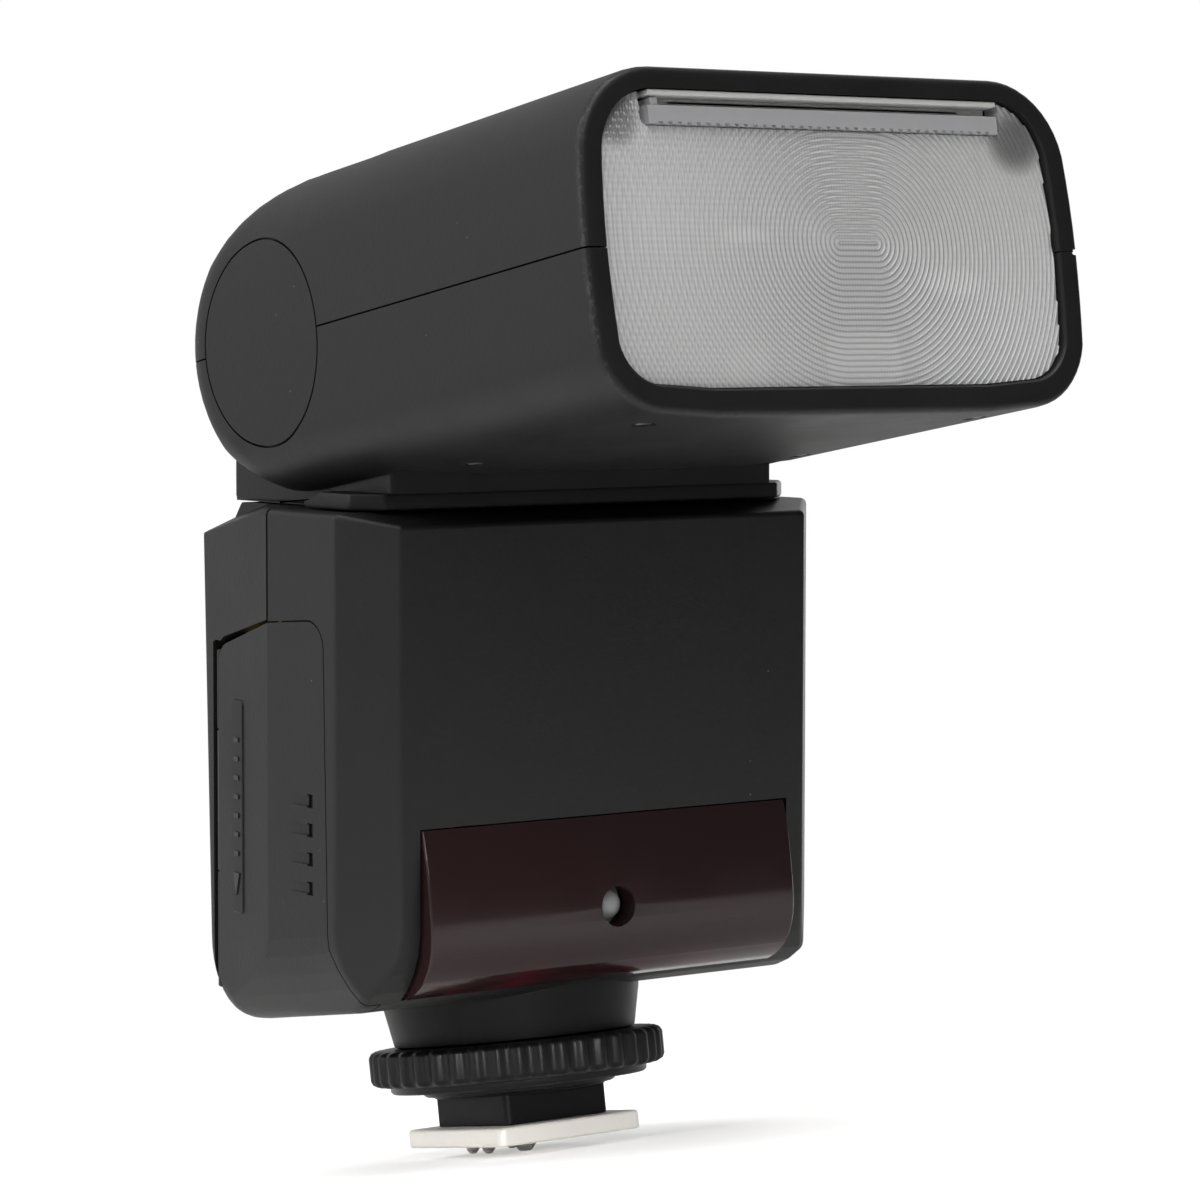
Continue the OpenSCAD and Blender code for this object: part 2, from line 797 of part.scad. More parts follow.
// ---------- head form, in the head's frame ----------
// y, z
head_side = concat(
  [[head_len, -head_down], [head_len, head_up], [6, head_up]],
  arc([0, 0], cheek_r, 80, 258.5, 26));
// x, z
low_x = head_half - 8.0;
low_z = -head_down + 8.2;
low_r = 7.8;
high_x = head_half - 9.6;
high_r = 9.2;
high_z = head_up - high_r;
head_front = concat(
  arc([low_x, low_z], low_r, -90, -12, 8),
  [[head_half, 0]],
  arc([high_x, high_z], high_r, 10, 90, 8),
  arc([-high_x, high_z], high_r, 90, 170, 8),
  [[-head_half, 0]],
  arc([-low_x, low_z], low_r, 192, 270, 8));
seam_half_gap = 0.03;
cap_recess = 1.3;
head_screw_places = [for (x = [-21, 21]) for (y = [22, 50]) [x, y]];

// chamber that holds the optics
module chamber() {
  intersection() {
    along(-40, 90) polygon(inset(head_front, 1.6));
    box([-40, 18.0, -40], [80, 100, 80]);
  }
}
module head_shell() {
  difference() {
    intersection() {
      across(-40, 40) polygon(inset(head_side, 0));
      along(-40, 90) polygon(inset(head_front, 0));
    }
    // slot for the yoke
    box([-25.3, -40, -40], [50.6, 56.4, 80]);
    difference() {
      chamber();
      // front rim is thicker than the walls
      along(54, 90) difference() {
        polygon(inset(head_front, -1));
        polygon(inset(head_front, 2.7));
      }
    }
    // axle bores and the recesses outside them
    cyl_x(axle_r + 0.06, -40, 40);
    both_sides() {
      cyl_x(7.6, 28.4, 40);
      cyl_x(10.8, head_half - cap_recess, 40);
    }
  }
}

// ---------- head parts ----------
module head_upper() {
  color(housing_black) at_head() intersection() {
    head_shell();
    box([-60, -60, seam_half_gap], [120, 160, 60]);
  }
}
module head_lower() {
  color(housing_black) at_head() difference() {
    intersection() {
      head_shell();
      box([-60, -60, -60 - seam_half_gap], [120, 160, 60]);
    }
    at_xy(head_screw_places, -30) cylinder(r = 1.2, h = 20, $fn = 32);
  }
}
module hinge_caps() {
  color([0.08, 0.08, 0.085]) at_head() both_sides()
    cyl_x(10.65, head_half - cap_recess + 0.05, head_half - 0.1);
}
// x, z
frame_opening = [[-26.3, -10], [-24, -12.2], [24, -12.2], [26.3, -10], [27.0, 0], [26.0, 9.0],
                 [24.2, 11.2], [-24.2, 11.2], [-26.0, 9.0], [-27.0, 0]];
module lens_frame() {
  color(trim_black) at_head() difference() {
    intersection() {
      along(head_len - 5.8, head_len - 4.0) polygon(inset(head_front, 1.75));
      // leaves room above for the panel and card
      box([-40, 0, -40], [80, 100, 52.4]);
    }
    along(head_len - 20, head_len) polygon(frame_opening);
  }
}
module fresnel_lens() {
  color([0.8, 0.82, 0.85, 0.5]) at_head() along(head_len - 3.9, head_len - 1.9) intersection() {
    polygon(inset(head_front, 2.9));
    translate([-40, -40]) square([80, 52.2]);
  }
}
// flat sheet with a thicker lip at its front edge
module pull_out(half_width, sheet_z, sheet_t, lip_z, lip_t) {
  box([-half_width, 21, sheet_z], [2 * half_width, 33.6, sheet_t]);
  box([-half_width, 53.6, lip_z], [2 * half_width, 1.4, lip_t]);
}
module wide_panel() {
  color([0.85, 0.87, 0.9, 0.5]) at_head() pull_out(20.5, 12.55, 1.0, 12.4, 1.2);
}
module bounce_card() {
  color([0.92, 0.92, 0.9]) at_head() pull_out(19.5, 13.75, 0.6, 13.7, 0.8);
}

// ---------- zoom optics ----------
tube_y = 34.5;               // flash tube, forward of the tilt axis
screw_place = [-25.2, -6];   // x, z of the motor and lead screw
rod_places = [[-25.2, 6], [25.2, -6]];  // x, z
rod_r = 0.9;
rod_back = 18.3;
rod_front = 49.2;
// y, z
bowl_outer = [[44, -11], [44, 11], [33, 9.4], [30, 6.5], [29.2, 3],
              [29.2, -3], [30, -6.5], [33, -9.4]];
bowl_inner = [[45, -10.5], [45, 10.5], [43, 10.3], [33.4, 8.8], [30.8, 6.2], [30, 2.8],
              [30, -2.8], [30.8, -6.2], [33.4, -8.8], [43, -10.3]];
module reflector() {
  color([0.85, 0.86, 0.88]) at_head() difference() {
    union() {
      across(-20.5, 20.5) polygon(bowl_outer);
      // ears on the guide rods and the screw
      at_xz([[-27.3, -8.2], [-27.3, 3.8], [19.8, -8.2]]) box([0, 39, 0], [7.5, 3, 4.4]);
    }
    across(-19.7, 19.7) polygon(bowl_inner);
    translate([0, tube_y, 0]) cyl_x(2.0, -30, 30);
    at_xz([screw_place]) cyl_y(1.0, 30, 50);
    at_xz(rod_places) cyl_y(0.96, 30, 50);
  }
}
module flash_tube() {
  color([0.9, 0.92, 0.95, 0.6]) at_head() translate([0, tube_y, 0]) {
    cyl_x(1.95, -19.65, 19.65);
    cyl_x(1.6, -21.6, 21.6);
  }
}
module zoom_motor() {
  color(steel) at_head() at_xz([screw_place]) difference() {
    cyl_y(3.2, rod_back, 27.2);
    cyl_y(0.95, 20, 30);
  }
}
module lead_screw() {
  color(rod_steel) at_head() at_xz([screw_place]) cyl_y(rod_r, 20.2, rod_front);
}
module guide_rods() {
  color(rod_steel) at_head() at_xz(rod_places) cyl_y(rod_r, rod_back, rod_front);
}
module head_screws() {
  color([0.5, 0.5, 0.52]) at_head() at_xy(head_screw_places, -head_down + 0.35)
    cylinder(r = 1.12, h = 1.1, $fn = 32);
}

front_housing();
rear_housing();
red_window();
light_sensor();
assist_lamp();
control_panel();
lcd_window();
lcd_module();
main_board();
power_board();
capacitor();
transformer();
battery_tray();
battery_cells();
battery_contacts();
battery_springs();
battery_door();
door_slider();
door_hinge_pin();
mode_button();
menu_button();
wireless_button();
test_button();
power_switch();
select_dial();
set_button();
dial_encoder();
sync_jack();
usb_port();
port_cover();
housing_screws();
foot_stem();
lock_wheel();
clamp_ring();
foot_plate();
foot_screws();
centre_contact();
signal_contacts();
centre_spring();
signal_springs();
turret_base();
turret_rear();
pivot_tube();
retaining_ring();
tilt_axles();
detent_plunger();
head_upper();
head_lower();
hinge_caps();
lens_frame();
fresnel_lens();
wide_panel();
bounce_card();
reflector();
flash_tube();
zoom_motor();
lead_screw();
guide_rods();
head_screws();
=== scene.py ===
"""A camera flash: body on a shoe, battery door, controls, and a turret with a tilting head.

Pieces are drawn in mm and finished in metres, with the shoe at the origin and +z up.
The red window and the lens face -y, the keys face +y and the battery door is at -x.
The body and turret are drawn upright and raked toward -y. In the head's frame y is mirrored:
it runs from the tilt axle out to the lens.
"""
import bpy
import bmesh
import json
import math
from mathutils import Matrix, Vector


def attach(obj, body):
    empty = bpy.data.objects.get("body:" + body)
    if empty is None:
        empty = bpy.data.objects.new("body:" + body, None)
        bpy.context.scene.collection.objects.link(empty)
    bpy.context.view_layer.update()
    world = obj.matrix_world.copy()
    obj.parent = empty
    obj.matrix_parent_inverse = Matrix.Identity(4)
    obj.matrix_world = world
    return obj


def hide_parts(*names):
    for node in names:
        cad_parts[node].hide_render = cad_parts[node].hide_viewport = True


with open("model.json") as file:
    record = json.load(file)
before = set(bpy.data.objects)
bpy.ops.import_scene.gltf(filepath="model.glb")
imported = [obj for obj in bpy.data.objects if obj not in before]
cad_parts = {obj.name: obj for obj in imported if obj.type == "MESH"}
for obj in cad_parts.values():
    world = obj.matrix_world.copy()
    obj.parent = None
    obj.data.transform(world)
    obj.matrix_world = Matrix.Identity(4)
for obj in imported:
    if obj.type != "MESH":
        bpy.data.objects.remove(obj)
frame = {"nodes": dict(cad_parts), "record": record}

for default in ('Cube', 'Camera', 'Light'):
    if default in bpy.data.objects:
        bpy.data.objects.remove(bpy.data.objects[default])

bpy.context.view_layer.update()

# ---------------------------------------------------------------- frames, mm
RAKE = math.radians(9.5)
RAKE_Z = 14                         # height of the line the body is raked about
AXLE_Y, AXLE_Z = 1.3, 86.2          # tilt axle of the head, in the raked frame
AXLE = (0, AXLE_Y, AXLE_Z)
POST = (0, AXLE_Y, 0)               # upright axis the turret turns on

WORLD = Matrix.Identity(4)
RAKED = (Matrix.Translation((0, 0, RAKE_Z)) @ Matrix.Rotation(RAKE, 4, 'X')
         @ Matrix.Translation((0, 0, -RAKE_Z)))
HEAD = Matrix.Translation(RAKED @ Vector(AXLE)) @ Matrix.Scale(-1, 4, (0, 1, 0))


# ---------------------------------------------------------------- outlines
def clamp(value):
    return max(0.0, min(1.0, value))


def arc(cx, cy, radius, start, end, steps):
    """Points on an arc, angles in degrees."""
    angles = [math.radians(start + (end - start) * i / steps) for i in range(steps + 1)]
    return [(cx + radius * math.cos(a), cy + radius * math.sin(a)) for a in angles]


def rounded_rect(width, height, radius, steps=8, cx=0, cy=0):
    points = []
    for side_x, side_y, start in ((1, 1, 0), (-1, 1, 90), (-1, -1, 180), (1, -1, 270)):
        points += arc(cx + side_x * (width / 2 - radius), cy + side_y * (height / 2 - radius),
                      radius, start, start + 90, steps)
    return points


def inset(points, distance):
    """The closed outline moved inward; a negative distance grows it."""
    count = len(points)
    area = sum(points[i][0] * points[(i + 1) % count][1]
               - points[(i + 1) % count][0] * points[i][1] for i in range(count))
    turn = 1 if area > 0 else -1
    moved = []
    for i in range(count):
        here = Vector(points[i])
        before = here - Vector(points[i - 1])
        after = Vector(points[(i + 1) % count]) - here
        if before.length < 1e-9 or after.length < 1e-9:
            moved.append(tuple(here))
            continue
        before.normalize()
        after.normalize()
        n1 = Vector((-before.y, before.x)) * turn
        n2 = Vector((-after.y, after.x)) * turn
        moved.append(tuple(here + distance * (n1 + n2) / (1 + n1.dot(n2))))
    return moved


def without_twins(points):
    kept = []
    for point in points:
        if not kept or (Vector(point) - Vector(kept[-1])).length > 0.05:
            kept.append(point)
    return kept


# ---------------------------------------------------------------- solids
def link(ob):
    bpy.context.scene.collection.objects.link(ob)
    return ob


def mesh_object(bm, name='part'):
    mesh = bpy.data.meshes.new(name)
    bm.to_mesh(mesh)
    bm.free()
    return link(bpy.data.objects.new(name, mesh))


def opened(ob):
    bm = bmesh.new()
    bm.from_mesh(ob.data)
    return bm


def store(bm, ob):
    bm.to_mesh(ob.data)
    bm.free()
    return ob


def remove(*obs):
    for ob in obs:
        bpy.data.objects.remove(ob)


def duplicate(ob):
    twin = ob.copy()
    twin.data = ob.data.copy()
    return link(twin)


def join(*obs):
    bm = bmesh.new()
    for ob in obs:
        bm.from_mesh(ob.data)
    remove(*obs)
    return mesh_object(bm)


def apply_modifiers(ob):
    graph = bpy.context.evaluated_depsgraph_get()
    graph.update()
    mesh = bpy.data.meshes.new_from_object(ob.evaluated_get(graph))
    ob.modifiers.clear()
    old = ob.data
    ob.data = mesh
    bpy.data.meshes.remove(old)
    return ob


def boolean(ob, tool, operation):
    """Apply the tool to ob; the tool is used up."""
    modifier = ob.modifiers.new('boolean', 'BOOLEAN')
    modifier.operation = operation
    modifier.object = tool
    modifier.solver = 'EXACT'
    apply_modifiers(ob)
    remove(tool)
    return ob


def cut(ob, *tools):
    for tool in tools:
        boolean(ob, tool, 'DIFFERENCE')
    return ob


def unite(ob, tool):
    return boolean(ob, tool, 'UNION')


def intersect(ob, tool):
    return boolean(ob, tool, 'INTERSECT')


def half_spaces(planes):
    """The solid behind every (point, outward normal) plane."""
    bm = bmesh.new()
    bmesh.ops.create_cube(bm, size=200.0)
    for point, normal in planes:
        everything = list(bm.verts) + list(bm.edges) + list(bm.faces)
        bmesh.ops.bisect_plane(bm, geom=everything, dist=1e-5, plane_co=point,
                               plane_no=Vector(normal).normalized(), clear_outer=True)
        rim = [e for e in bm.edges if e.is_boundary]
        if rim:
            bmesh.ops.holes_fill(bm, edges=rim)
    bmesh.ops.recalc_face_normals(bm, faces=bm.faces)
    return mesh_object(bm)


def box(x0, x1, y0, y1, z0, z1):
    bm = bmesh.new()
    bmesh.ops.create_cube(bm, size=1)
    for v in bm.verts:
        v.co = Vector((x0 + (v.co.x + .5) * (x1 - x0), y0 + (v.co.y + .5) * (y1 - y0),
                       z0 + (v.co.z + .5) * (z1 - z0)))
    return mesh_object(bm)


def prism(points, axis, start, end):
    """An outline extruded along an axis. Points are (y,z) for x, (x,z) for y, (x,y) for z."""
    def place(p, t):
        return {'x': (t, p[0], p[1]), 'y': (p[0], t, p[1]), 'z': (p[0], p[1], t)}[axis]
    bm = bmesh.new()
    low = [bm.verts.new(place(p, start)) for p in points]
    high = [bm.verts.new(place(p, end)) for p in points]
    bm.faces.new(low)
    bm.faces.new(high)
    for i in range(len(points)):
        k = (i + 1) % len(points)
        bm.faces.new([low[i], low[k], high[k], high[i]])
    bmesh.ops.recalc_face_normals(bm, faces=bm.faces)
    return mesh_object(bm)


def loft(rings, capped=True):
    """A skin over closed rings of equal length."""
    bm = bmesh.new()
    rows = [[bm.verts.new(p) for p in ring] for ring in rings]
    count = len(rows[0])
    for a, b in zip(rows[:-1], rows[1:]):
        for j in range(count):
            k = (j + 1) % count
            bm.faces.new([a[j], a[k], b[k], b[j]])
    if capped:
        bm.faces.new(rows[0][::-1])
        bm.faces.new(rows[-1])
    bmesh.ops.remove_doubles(bm, verts=bm.verts, dist=1e-4)
    bmesh.ops.recalc_face_normals(bm, faces=bm.faces)
    return mesh_object(bm)


def around(profile, angle, axis, centre):
    """A profile of (radius, place along axis), turned to an angle about the axis."""
    c, s = math.cos(angle), math.sin(angle)
    row = []
    for r, t in profile:
        p = {'z': (r * c, r * s, t), 'y': (r * c, t, r * s), 'x': (t, r * c, r * s)}[axis]
        row.append(Vector(p) + Vector(centre))
    return row


def lathe(profile, steps=96, axis='z', centre=(0, 0, 0)):
    bm = bmesh.new()
    rows = [[bm.verts.new(p) for p in around(profile, 2 * math.pi * i / steps, axis, centre)]
            for i in range(steps)]
    for i in range(steps):
        a, b = rows[i], rows[(i + 1) % steps]
        for j in range(len(profile)):
            k = (j + 1) % len(profile)
            bm.faces.new([a[j], a[k], b[k], b[j]])
    bmesh.ops.remove_doubles(bm, verts=bm.verts, dist=1e-5)
    bmesh.ops.dissolve_degenerate(bm, edges=bm.edges, dist=1e-5)
    bmesh.ops.recalc_face_normals(bm, faces=bm.faces)
    return mesh_object(bm)


def cylinder(radius, start, end, steps, axis='z', centre=(0, 0, 0)):
    return lathe([(0, start), (radius, start), (radius, end), (0, end)], steps, axis, centre)


def fluted(count, steps, radius, profile_at, axis='z', centre=(0, 0, 0)):
    """A turned ring with count flutes; profile_at takes the distance from a flute's middle."""
    rows = []
    for i in range(count * steps):
        offset = ((i / steps + .5) % 1 - .5) * 2 * math.pi / count
        profile = profile_at(abs(radius * math.sin(offset)))
        rows.append(around(profile, 2 * math.pi * i / (count * steps), axis, centre))
    return loft(rows + rows[:1], capped=False)


# ---------------------------------------------------------------- bevels
def fold(edge):
    return math.degrees(edge.calc_face_angle(0))


def lies_at(edge, axis, value, tolerance=.01):
    """Both ends of the edge are at value along axis 0, 1 or 2."""
    return all(abs(v.co[axis] - value) < tolerance for v in edge.verts)


def bevel_edges(ob, test, offset, segments=3):
    bm = opened(ob)
    bm.normal_update()
    edges = [e for e in bm.edges if len(e.link_faces) == 2 and test(e)]
    if edges:
        bmesh.ops.bevel(bm, geom=edges, offset=offset, offset_type='OFFSET', segments=segments,
                        profile=0.5, affect='EDGES', clamp_overlap=True)
    return store(bm, ob)


def bevel_beyond(ob, y, offset, segments=3):
    """Bevel the sharp edges beyond y, on the side of the keys."""
    return bevel_edges(ob, lambda e: fold(e) > 60 and all(v.co.y > y for v in e.verts),
                       offset, segments)


def bevel_all(ob, width, segments=2):
    modifier = ob.modifiers.new('bevel', 'BEVEL')
    modifier.width = width
    modifier.segments = segments
    modifier.limit_method = 'ANGLE'
    modifier.angle_limit = math.radians(40)
    modifier.use_clamp_overlap = True
    modifier.miter_outer = 'MITER_ARC'
    modifier.loop_slide = True
    return apply_modifiers(ob)


# ---------------------------------------------------------------- finishing
REPLACED = set()


def finish(ob, name, place, body, material, replaced=None, sharp=32, weighted=True):
    """Turn a part in mm in the frame place into a finished piece in metres."""
    bm = opened(ob)
    bmesh.ops.remove_doubles(bm, verts=bm.verts, dist=2e-4)
    bmesh.ops.dissolve_degenerate(bm, edges=bm.edges, dist=2e-4)
    loose = [v for v in bm.verts if not v.link_faces]
    bmesh.ops.delete(bm, geom=loose, context='VERTS')
    bm.transform(Matrix.Scale(0.001, 4) @ place)
    if place.determinant() < 0:
        bmesh.ops.reverse_faces(bm, faces=bm.faces)
    bm.normal_update()
    for f in bm.faces:
        f.smooth = True
    for e in bm.edges:
        e.smooth = len(e.link_faces) == 2 and fold(e) <= sharp
    store(bm, ob)
    ob.name = name
    ob.data.name = name
    ob.data.materials.clear()
    ob.data.materials.append(material)
    if weighted:
        modifier = ob.modifiers.new('wn', 'WEIGHTED_NORMAL')
        modifier.keep_sharp = True
        modifier.weight = 60
    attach(ob, body)
    if replaced:
        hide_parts(replaced)
        REPLACED.add(replaced)
    return ob


# ---------------------------------------------------------------- shader helpers
def node(tree, kind, *values, **settings):
    """A shader node. Capitalised settings are inputs by name, lower-case ones are attributes,
    and values fill the inputs in order. A node or socket given as a value is linked."""
    made = tree.nodes.new('ShaderNode' + kind)
    inputs = list(zip(made.inputs, values))
    for key, value in settings.items():
        if key[0].islower():
            setattr(made, key, value)
        else:
            inputs.append((made.inputs[key.replace('_', ' ')], value))
    for socket, value in inputs:
        if isinstance(value, bpy.types.Node):
            value = value.outputs[0]
        if isinstance(value, bpy.types.NodeSocket):
            tree.links.new(value, socket)
        else:
            socket.default_value = value
    return made


def empty_tree(owner):
    owner.use_nodes = True
    owner.node_tree.nodes.clear()
    return owner.node_tree


def new_material(name):
    material = bpy.data.materials.new(name)
    return material, empty_tree(material)


def surface(tree, **inputs):
    node(tree, 'OutputMaterial', node(tree, 'BsdfPrincipled', **inputs))


def calc(tree, operation, *values):
    return node(tree, 'Math', *values, operation=operation)


def smooth_range(tree, value, start, end, **output):
    return node(tree, 'MapRange', interpolation_type='SMOOTHSTEP', Value=value,
                From_Min=start, From_Max=end, **output)


def object_coords(tree, scale=(1.0, 1.0, 1.0)):
    coords = node(tree, 'TexCoord').outputs['Object']
    return node(tree, 'Mapping', coords, Scale=scale)


def noise(tree, coords, **inputs):
    return node(tree, 'TexNoise', Vector=coords, **inputs).outputs['Fac']


def ramp(tree, factor, *stops):
    """A grey ramp; stops are (position, grey)."""
    made = node(tree, 'ValToRGB', factor)
    elements = made.color_ramp.elements
    for element, (position, grey) in zip(elements, stops):
        element.position = position
        element.color = (grey, grey, grey, 1)
    return made


def mix(tree, factor, *colours):
    made = node(tree, 'Mix', factor, data_type='RGBA')
    # inputs 6 and 7 and output 2 are the colour sockets
    for socket, colour in zip((made.inputs[6], made.inputs[7]), colours):
        if isinstance(colour, bpy.types.NodeSocket):
            tree.links.new(colour, socket)
        else:
            socket.default_value = (*colour, 1)
    return made.outputs[2]


def bump(tree, height, strength, distance):
    return node(tree, 'Bump', Height=height, Strength=strength, Distance=distance)


def shades(base, spread):
    """The base colour darkened and lightened by a share of itself."""
    return (tuple(b * (1 - spread) for b in base),
            tuple(min(1, b * (1 + spread)) for b in base))


# ---------------------------------------------------------------- materials
DUST = (0.30, 0.29, 0.28)
RUBBED = (0.22, 0.215, 0.21)


def plastic(name, base, rough=0.42, grain=0.35, grain_scale=5200, spec=0.4, wear=0.0, dust=1.0,
            spread=0.25, coat=0.0):
    """Moulded plastic: fine grain, cloudy colour and roughness, dust specks, rubbed edges."""
    material, tree = new_material(name)
    coords = object_coords(tree)
    fine = noise(tree, coords, Scale=grain_scale, Detail=2.0, Roughness=0.6)
    coarse = noise(tree, coords, Scale=grain_scale * 0.32, Detail=1.0)
    cloud = noise(tree, coords, Scale=90.0, Detail=5.0, Roughness=0.6)
    cells = node(tree, 'TexVoronoi', Vector=coords, Scale=420.0)
    colour = mix(tree, cloud, *shades(base, spread))
    # a speck sits at the centre of a few of the cells
    near = ramp(tree, cells.outputs['Distance'], (0.0, 1.0), (0.055, 0.0))
    pick = node(tree, 'SeparateColor', cells.outputs['Color'])
    few = ramp(tree, pick, (0.955, 0.0), (0.965, 1.0))
    specks = calc(tree, 'MULTIPLY', calc(tree, 'MULTIPLY', near, few), 0.55 * dust)
    colour = mix(tree, specks, colour, DUST)
    if wear > 0:
        amount = node(tree, 'Attribute', attribute_name='wear').outputs['Fac']
        patches = noise(tree, coords, Scale=1500.0, Detail=6.0, Roughness=0.7)
        rubbed = calc(tree, 'MULTIPLY', amount, ramp(tree, patches, (0.50, 0.0), (0.68, 1.0)))
        colour = mix(tree, calc(tree, 'MULTIPLY', rubbed, wear), colour, RUBBED)
    surface(tree, Base_Color=colour,
            Roughness=ramp(tree, cloud, (0.25, rough - 0.05), (0.75, rough + 0.07)),
            Specular_IOR_Level=spec, Coat_Weight=coat,
            Normal=bump(tree, calc(tree, 'ADD', fine, coarse), grain, 0.00006))
    return material


def metal(name, base, rough=0.3, brush=(60, 60, 2600), relief=0.15, metallic=1.0, spread=0.1):
    """Metal with streaks; brush is the texture's scale along x, y and z."""
    material, tree = new_material(name)
    streaks = noise(tree, object_coords(tree, brush), Scale=3.0, Detail=4.0)
    cloud = noise(tree, object_coords(tree), Scale=300.0, Detail=4.0)
    surface(tree, Base_Color=mix(tree, cloud, *shades(base, spread)), Metallic=metallic,
            Roughness=ramp(tree, streaks, (0.3, rough - 0.06), (0.7, rough + 0.1)),
            Normal=bump(tree, streaks, relief, 0.00004))
    return material


def clear(name, base=(0.95, 0.96, 0.98), rough=0.04, transmission=1.0, ripple=0.1):
    material, tree = new_material(name)
    cloud = noise(tree, object_coords(tree), Scale=900, Detail=2.0)
    surface(tree, Base_Color=mix(tree, cloud, tuple(b * 0.97 for b in base), base),
            Roughness=ramp(tree, cloud, (0.3, rough), (0.8, rough + 0.05)),
            Transmission_Weight=transmission, IOR=1.49,
            Normal=bump(tree, cloud, ripple, 0.00003))
    return material


# rings of the lens, mm in the head's frame: a stadium about this centre, stretched along x
RING_X, RING_Z = 2.6, 0.75
RING_STRETCH = 2.3
RING_PITCH = 0.57
# painted light and shade on the lens, mm: x, z, half width, half height, softness, amount, grey,
# power; the bright patches are painted glints and a painted image of the reflector, the dark
# ones painted shade of the dark inside
LENS_PAINTED_LIGHT = [
    # painted image of the reflector's bright lower part, low in the middle
    (1.9, -10.9, 4.6, 2.9, 0.25, 0.75, 0.98, 5.0),
    # painted highlight to the left of it
    (-12.5, -11.4, 2.6, 2.4, 0.7, 0.5, 0.97, 2.0),
    # painted shade: the dark inside, high toward +x
    (24.6, 11.2, 3.2, 2.8, 0.9, 0.75, 0.12, 2.0),
    # painted shade: the dark inside, high toward -x
    (-25.6, 12.4, 2.4, 2.4, 0.9, 0.7, 0.14, 2.0),
    # painted glint left of the centre
    (-11.4, 1.4, 3.0, 0.75, 0.8, 0.8, 1.0, 2.0),
    # painted glint right of the centre
    (14.3, -3.0, 3.6, 1.4, 0.8, 0.6, 1.0, 2.0),
]
PATCH_Z = 85.42                     # world height that patch z is measured from, mm
RING_WORLD_Z = 0.08617              # world height of the shaded rings' centre, m


def lens_material():
    """Ribbed clear plastic with painted glints, a painted reflector image and painted shade in
    soft patches, and a fine dark line at every ring.
    """
    material, tree = new_material('fresnel_clear')
    coords = object_coords(tree)
    axes = node(tree, 'SeparateXYZ', coords)
    x, z = axes.outputs[0], axes.outputs[2]

    def math_(operation, *values):
        return calc(tree, operation, *values)

    def wave(value, pitch):
        return math_('SINE', math_('MULTIPLY', value, 2 * math.pi / pitch))

    def falloff(value, centre, half, power):
        share = math_('DIVIDE', math_('SUBTRACT', value, centre / 1000), half / 1000)
        return math_('POWER', math_('ABSOLUTE', share), power)

    side = smooth_range(tree, x, 0.012, -0.010, To_Min=0.25)
    waves = math_('ADD', wave(x, 0.00036), math_('MULTIPLY', wave(z, 0.00062), 0.45))
    ribs = math_('MULTIPLY', waves, side)
    tint = node(tree, 'MapRange', ribs, From_Min=-1.2, From_Max=1.2)
    colour = mix(tree, tint, (0.78, 0.78, 0.785), (1.0, 1.0, 1.0))
    # paint the glints, the reflector image and the shade listed above into the lens colour
    for patch_x, patch_z, half_x, half_z, soft, amount, grey, power in LENS_PAINTED_LIGHT:
        distance = math_('ADD', falloff(x, patch_x, half_x, power),
                         falloff(z, patch_z + PATCH_Z, half_z, power))
        painted_mask = smooth_range(tree, distance, 1.0 + soft, 1.0 - soft, To_Max=amount)
        colour = mix(tree, painted_mask, colour, (grey,) * 3)

    off_centre = math_('ABSOLUTE', math_('SUBTRACT', x, RING_X / 1000))
    across = math_('MAXIMUM', math_('SUBTRACT', off_centre, RING_STRETCH / 1000), 0.0)
    up = math_('SUBTRACT', z, RING_WORLD_Z)
    radius = math_('SQRT', math_('ADD', math_('MULTIPLY', across, across),
                                 math_('MULTIPLY', up, up)))
    swing = math_('MULTIPLY', wave(radius, RING_PITCH / 1000), 0.5)
    line = math_('POWER', math_('ADD', swing, 0.5), 3.0)
    near = smooth_range(tree, radius, 0.024, 0.004, To_Min=0.27, To_Max=0.62)
    colour = mix(tree, math_('MULTIPLY', line, near), colour, (0.20, 0.20, 0.21))
    cloud = noise(tree, coords, Scale=60.0, Detail=3.0)
    surface(tree, Base_Color=colour, Roughness=ramp(tree, cloud, (0.3, 0.10), (0.7, 0.17)),
            Transmission_Weight=0.16, IOR=1.49, Normal=bump(tree, ribs, 0.35, 0.00004))
    return material


def red_window_material():
    """Near-black gloss with a patchy painted red glow toward its lower edge, standing in for
    light passing through that edge.
    """
    material, tree = new_material('red_window_gloss')
    coords = object_coords(tree)
    height = node(tree, 'SeparateXYZ', coords).outputs[2]
    cloud = noise(tree, coords, Scale=120.0, Detail=3.0)
    # mask for the painted glow: the window's lower edge, broken up by the cloud
    low = node(tree, 'MapRange', height, From_Min=0.0196, From_Max=0.0176)
    painted_glow = calc(tree, 'MULTIPLY', low, ramp(tree, cloud, (0.46, 0.05), (0.66, 1.0)))
    surface(tree, Base_Color=mix(tree, painted_glow, (0.0228, 0.0098, 0.0104), (0.060, 0.006, 0.010)),
            Roughness=ramp(tree, cloud, (0.3, 0.11), (0.7, 0.2)),
            Specular_IOR_Level=0.38, Coat_Weight=0.1, Normal=bump(tree, cloud, 0.08, 0.0001))
    return material


def ink_material():
    material, tree = new_material('display_ink')
    cloud = noise(tree, object_coords(tree), Scale=800.0)
    surface(tree, Base_Color=mix(tree, cloud, (0.02, 0.025, 0.02), (0.035, 0.04, 0.035)),
            Roughness=0.5)
    return material


